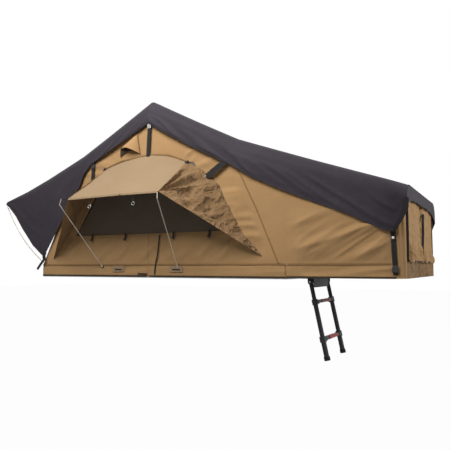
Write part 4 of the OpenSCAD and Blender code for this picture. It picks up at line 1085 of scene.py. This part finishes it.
studio = {"floorZ": -1.75, "floorSize": 40.0, "floorWhite": 0.975, "sky": 0.2}
lamps = {  # place, aim, size and power
    "keyLamp": ((0.75, -2.8, 2.95), (0.8, -0.6, 0.6), (1.6, 1.6), 158),
    "endLamp": ((6.2, 0.4, 2.2), (1.6, 0.0, 0.3), (2.0, 2.0), 140),
    "rimLamp": ((-3.5, 4.0, 4.5), (0.4, 0.0, 0.5), (4.0, 4.0), 110),
}
for name, (place, aim, size, power) in lamps.items():
    light = bpy.data.lights.new(name, "AREA")
    light.shape = "RECTANGLE"
    light.size, light.size_y = size
    light.energy = power
    lamp = bpy.data.objects.new(name, light)
    bpy.context.scene.collection.objects.link(lamp)
    lamp.location = place
    lamp.rotation_euler = (Vector(aim) - Vector(place)).to_track_quat("-Z", "Y").to_euler()

floorMesh = bmesh.new()
bmesh.ops.create_grid(floorMesh, x_segments=1, y_segments=1, size=studio["floorSize"])
bmesh.ops.translate(floorMesh, vec=(0, 0, studio["floorZ"]), verts=floorMesh.verts)
floorData = bpy.data.meshes.new("floor")
floorMesh.to_mesh(floorData)
floorMesh.free()
floor = bpy.data.objects.new("floor", floorData)
bpy.context.scene.collection.objects.link(floor)
floorMaterial, floorTree, floorSurface = newMaterial("paleFloor")
floorSurface.inputs["Base Color"].default_value = linear("#c8c8c8")
floorSurface.inputs["Roughness"].default_value = 0.9
rays = addNode(floorTree, "ShaderNodeLightPath").outputs
white = addNode(floorTree, "ShaderNodeEmission", {"Strength": 1.0})
share = addNode(floorTree, "ShaderNodeMath", {"operation": "MULTIPLY", 1: studio["floorWhite"]},
                {0: rays["Is Camera Ray"]})
mixed = addNode(floorTree, "ShaderNodeMixShader", None,
                {0: share.outputs[0], 1: floorSurface.outputs[0], 2: white.outputs[0]})
floorTree.links.new(mixed.outputs[0], floorTree.nodes["Material Output"].inputs["Surface"])
floorData.materials.append(floorMaterial)

# The camera, mirror-like faces and see-through ones meet a white sky; only its dim share lights the tent.
world = bpy.data.worlds.new("studioWorld")
bpy.context.scene.world = world
world.use_nodes = True
sky = world.node_tree
sky.nodes.clear()
rays = addNode(sky, "ShaderNodeLightPath").outputs
seen = addNode(sky, "ShaderNodeMath", {"operation": "MAXIMUM"},
               {0: rays["Is Camera Ray"], 1: rays["Is Glossy Ray"]})
passed = addNode(sky, "ShaderNodeMath", {"operation": "MAXIMUM"},
                 {0: seen.outputs[0], 1: rays["Is Transmission Ray"]})
dim, full = (addNode(sky, "ShaderNodeBackground", {"Color": (1, 1, 1, 1), "Strength": strength})
             for strength in (studio["sky"], 1.0))
mixed = addNode(sky, "ShaderNodeMixShader", None,
                {0: passed.outputs[0], 1: dim.outputs[0], 2: full.outputs[0]})
addNode(sky, "ShaderNodeOutputWorld", links={"Surface": mixed.outputs[0]})
bpy.context.scene.view_settings.view_transform = "Standard"

camera = bpy.data.cameras.new("photoCamera")
camera.sensor_width = 36
camera.lens = 41.83
viewer = bpy.data.objects.new("photoCamera", camera)
bpy.context.scene.collection.objects.link(viewer)
viewer.location = (3.2, -4.136, 0.086)
viewer.rotation_euler = (math.radians(94.61), 0, math.radians(28.73))
bpy.context.scene.camera = viewer
print("studio made")
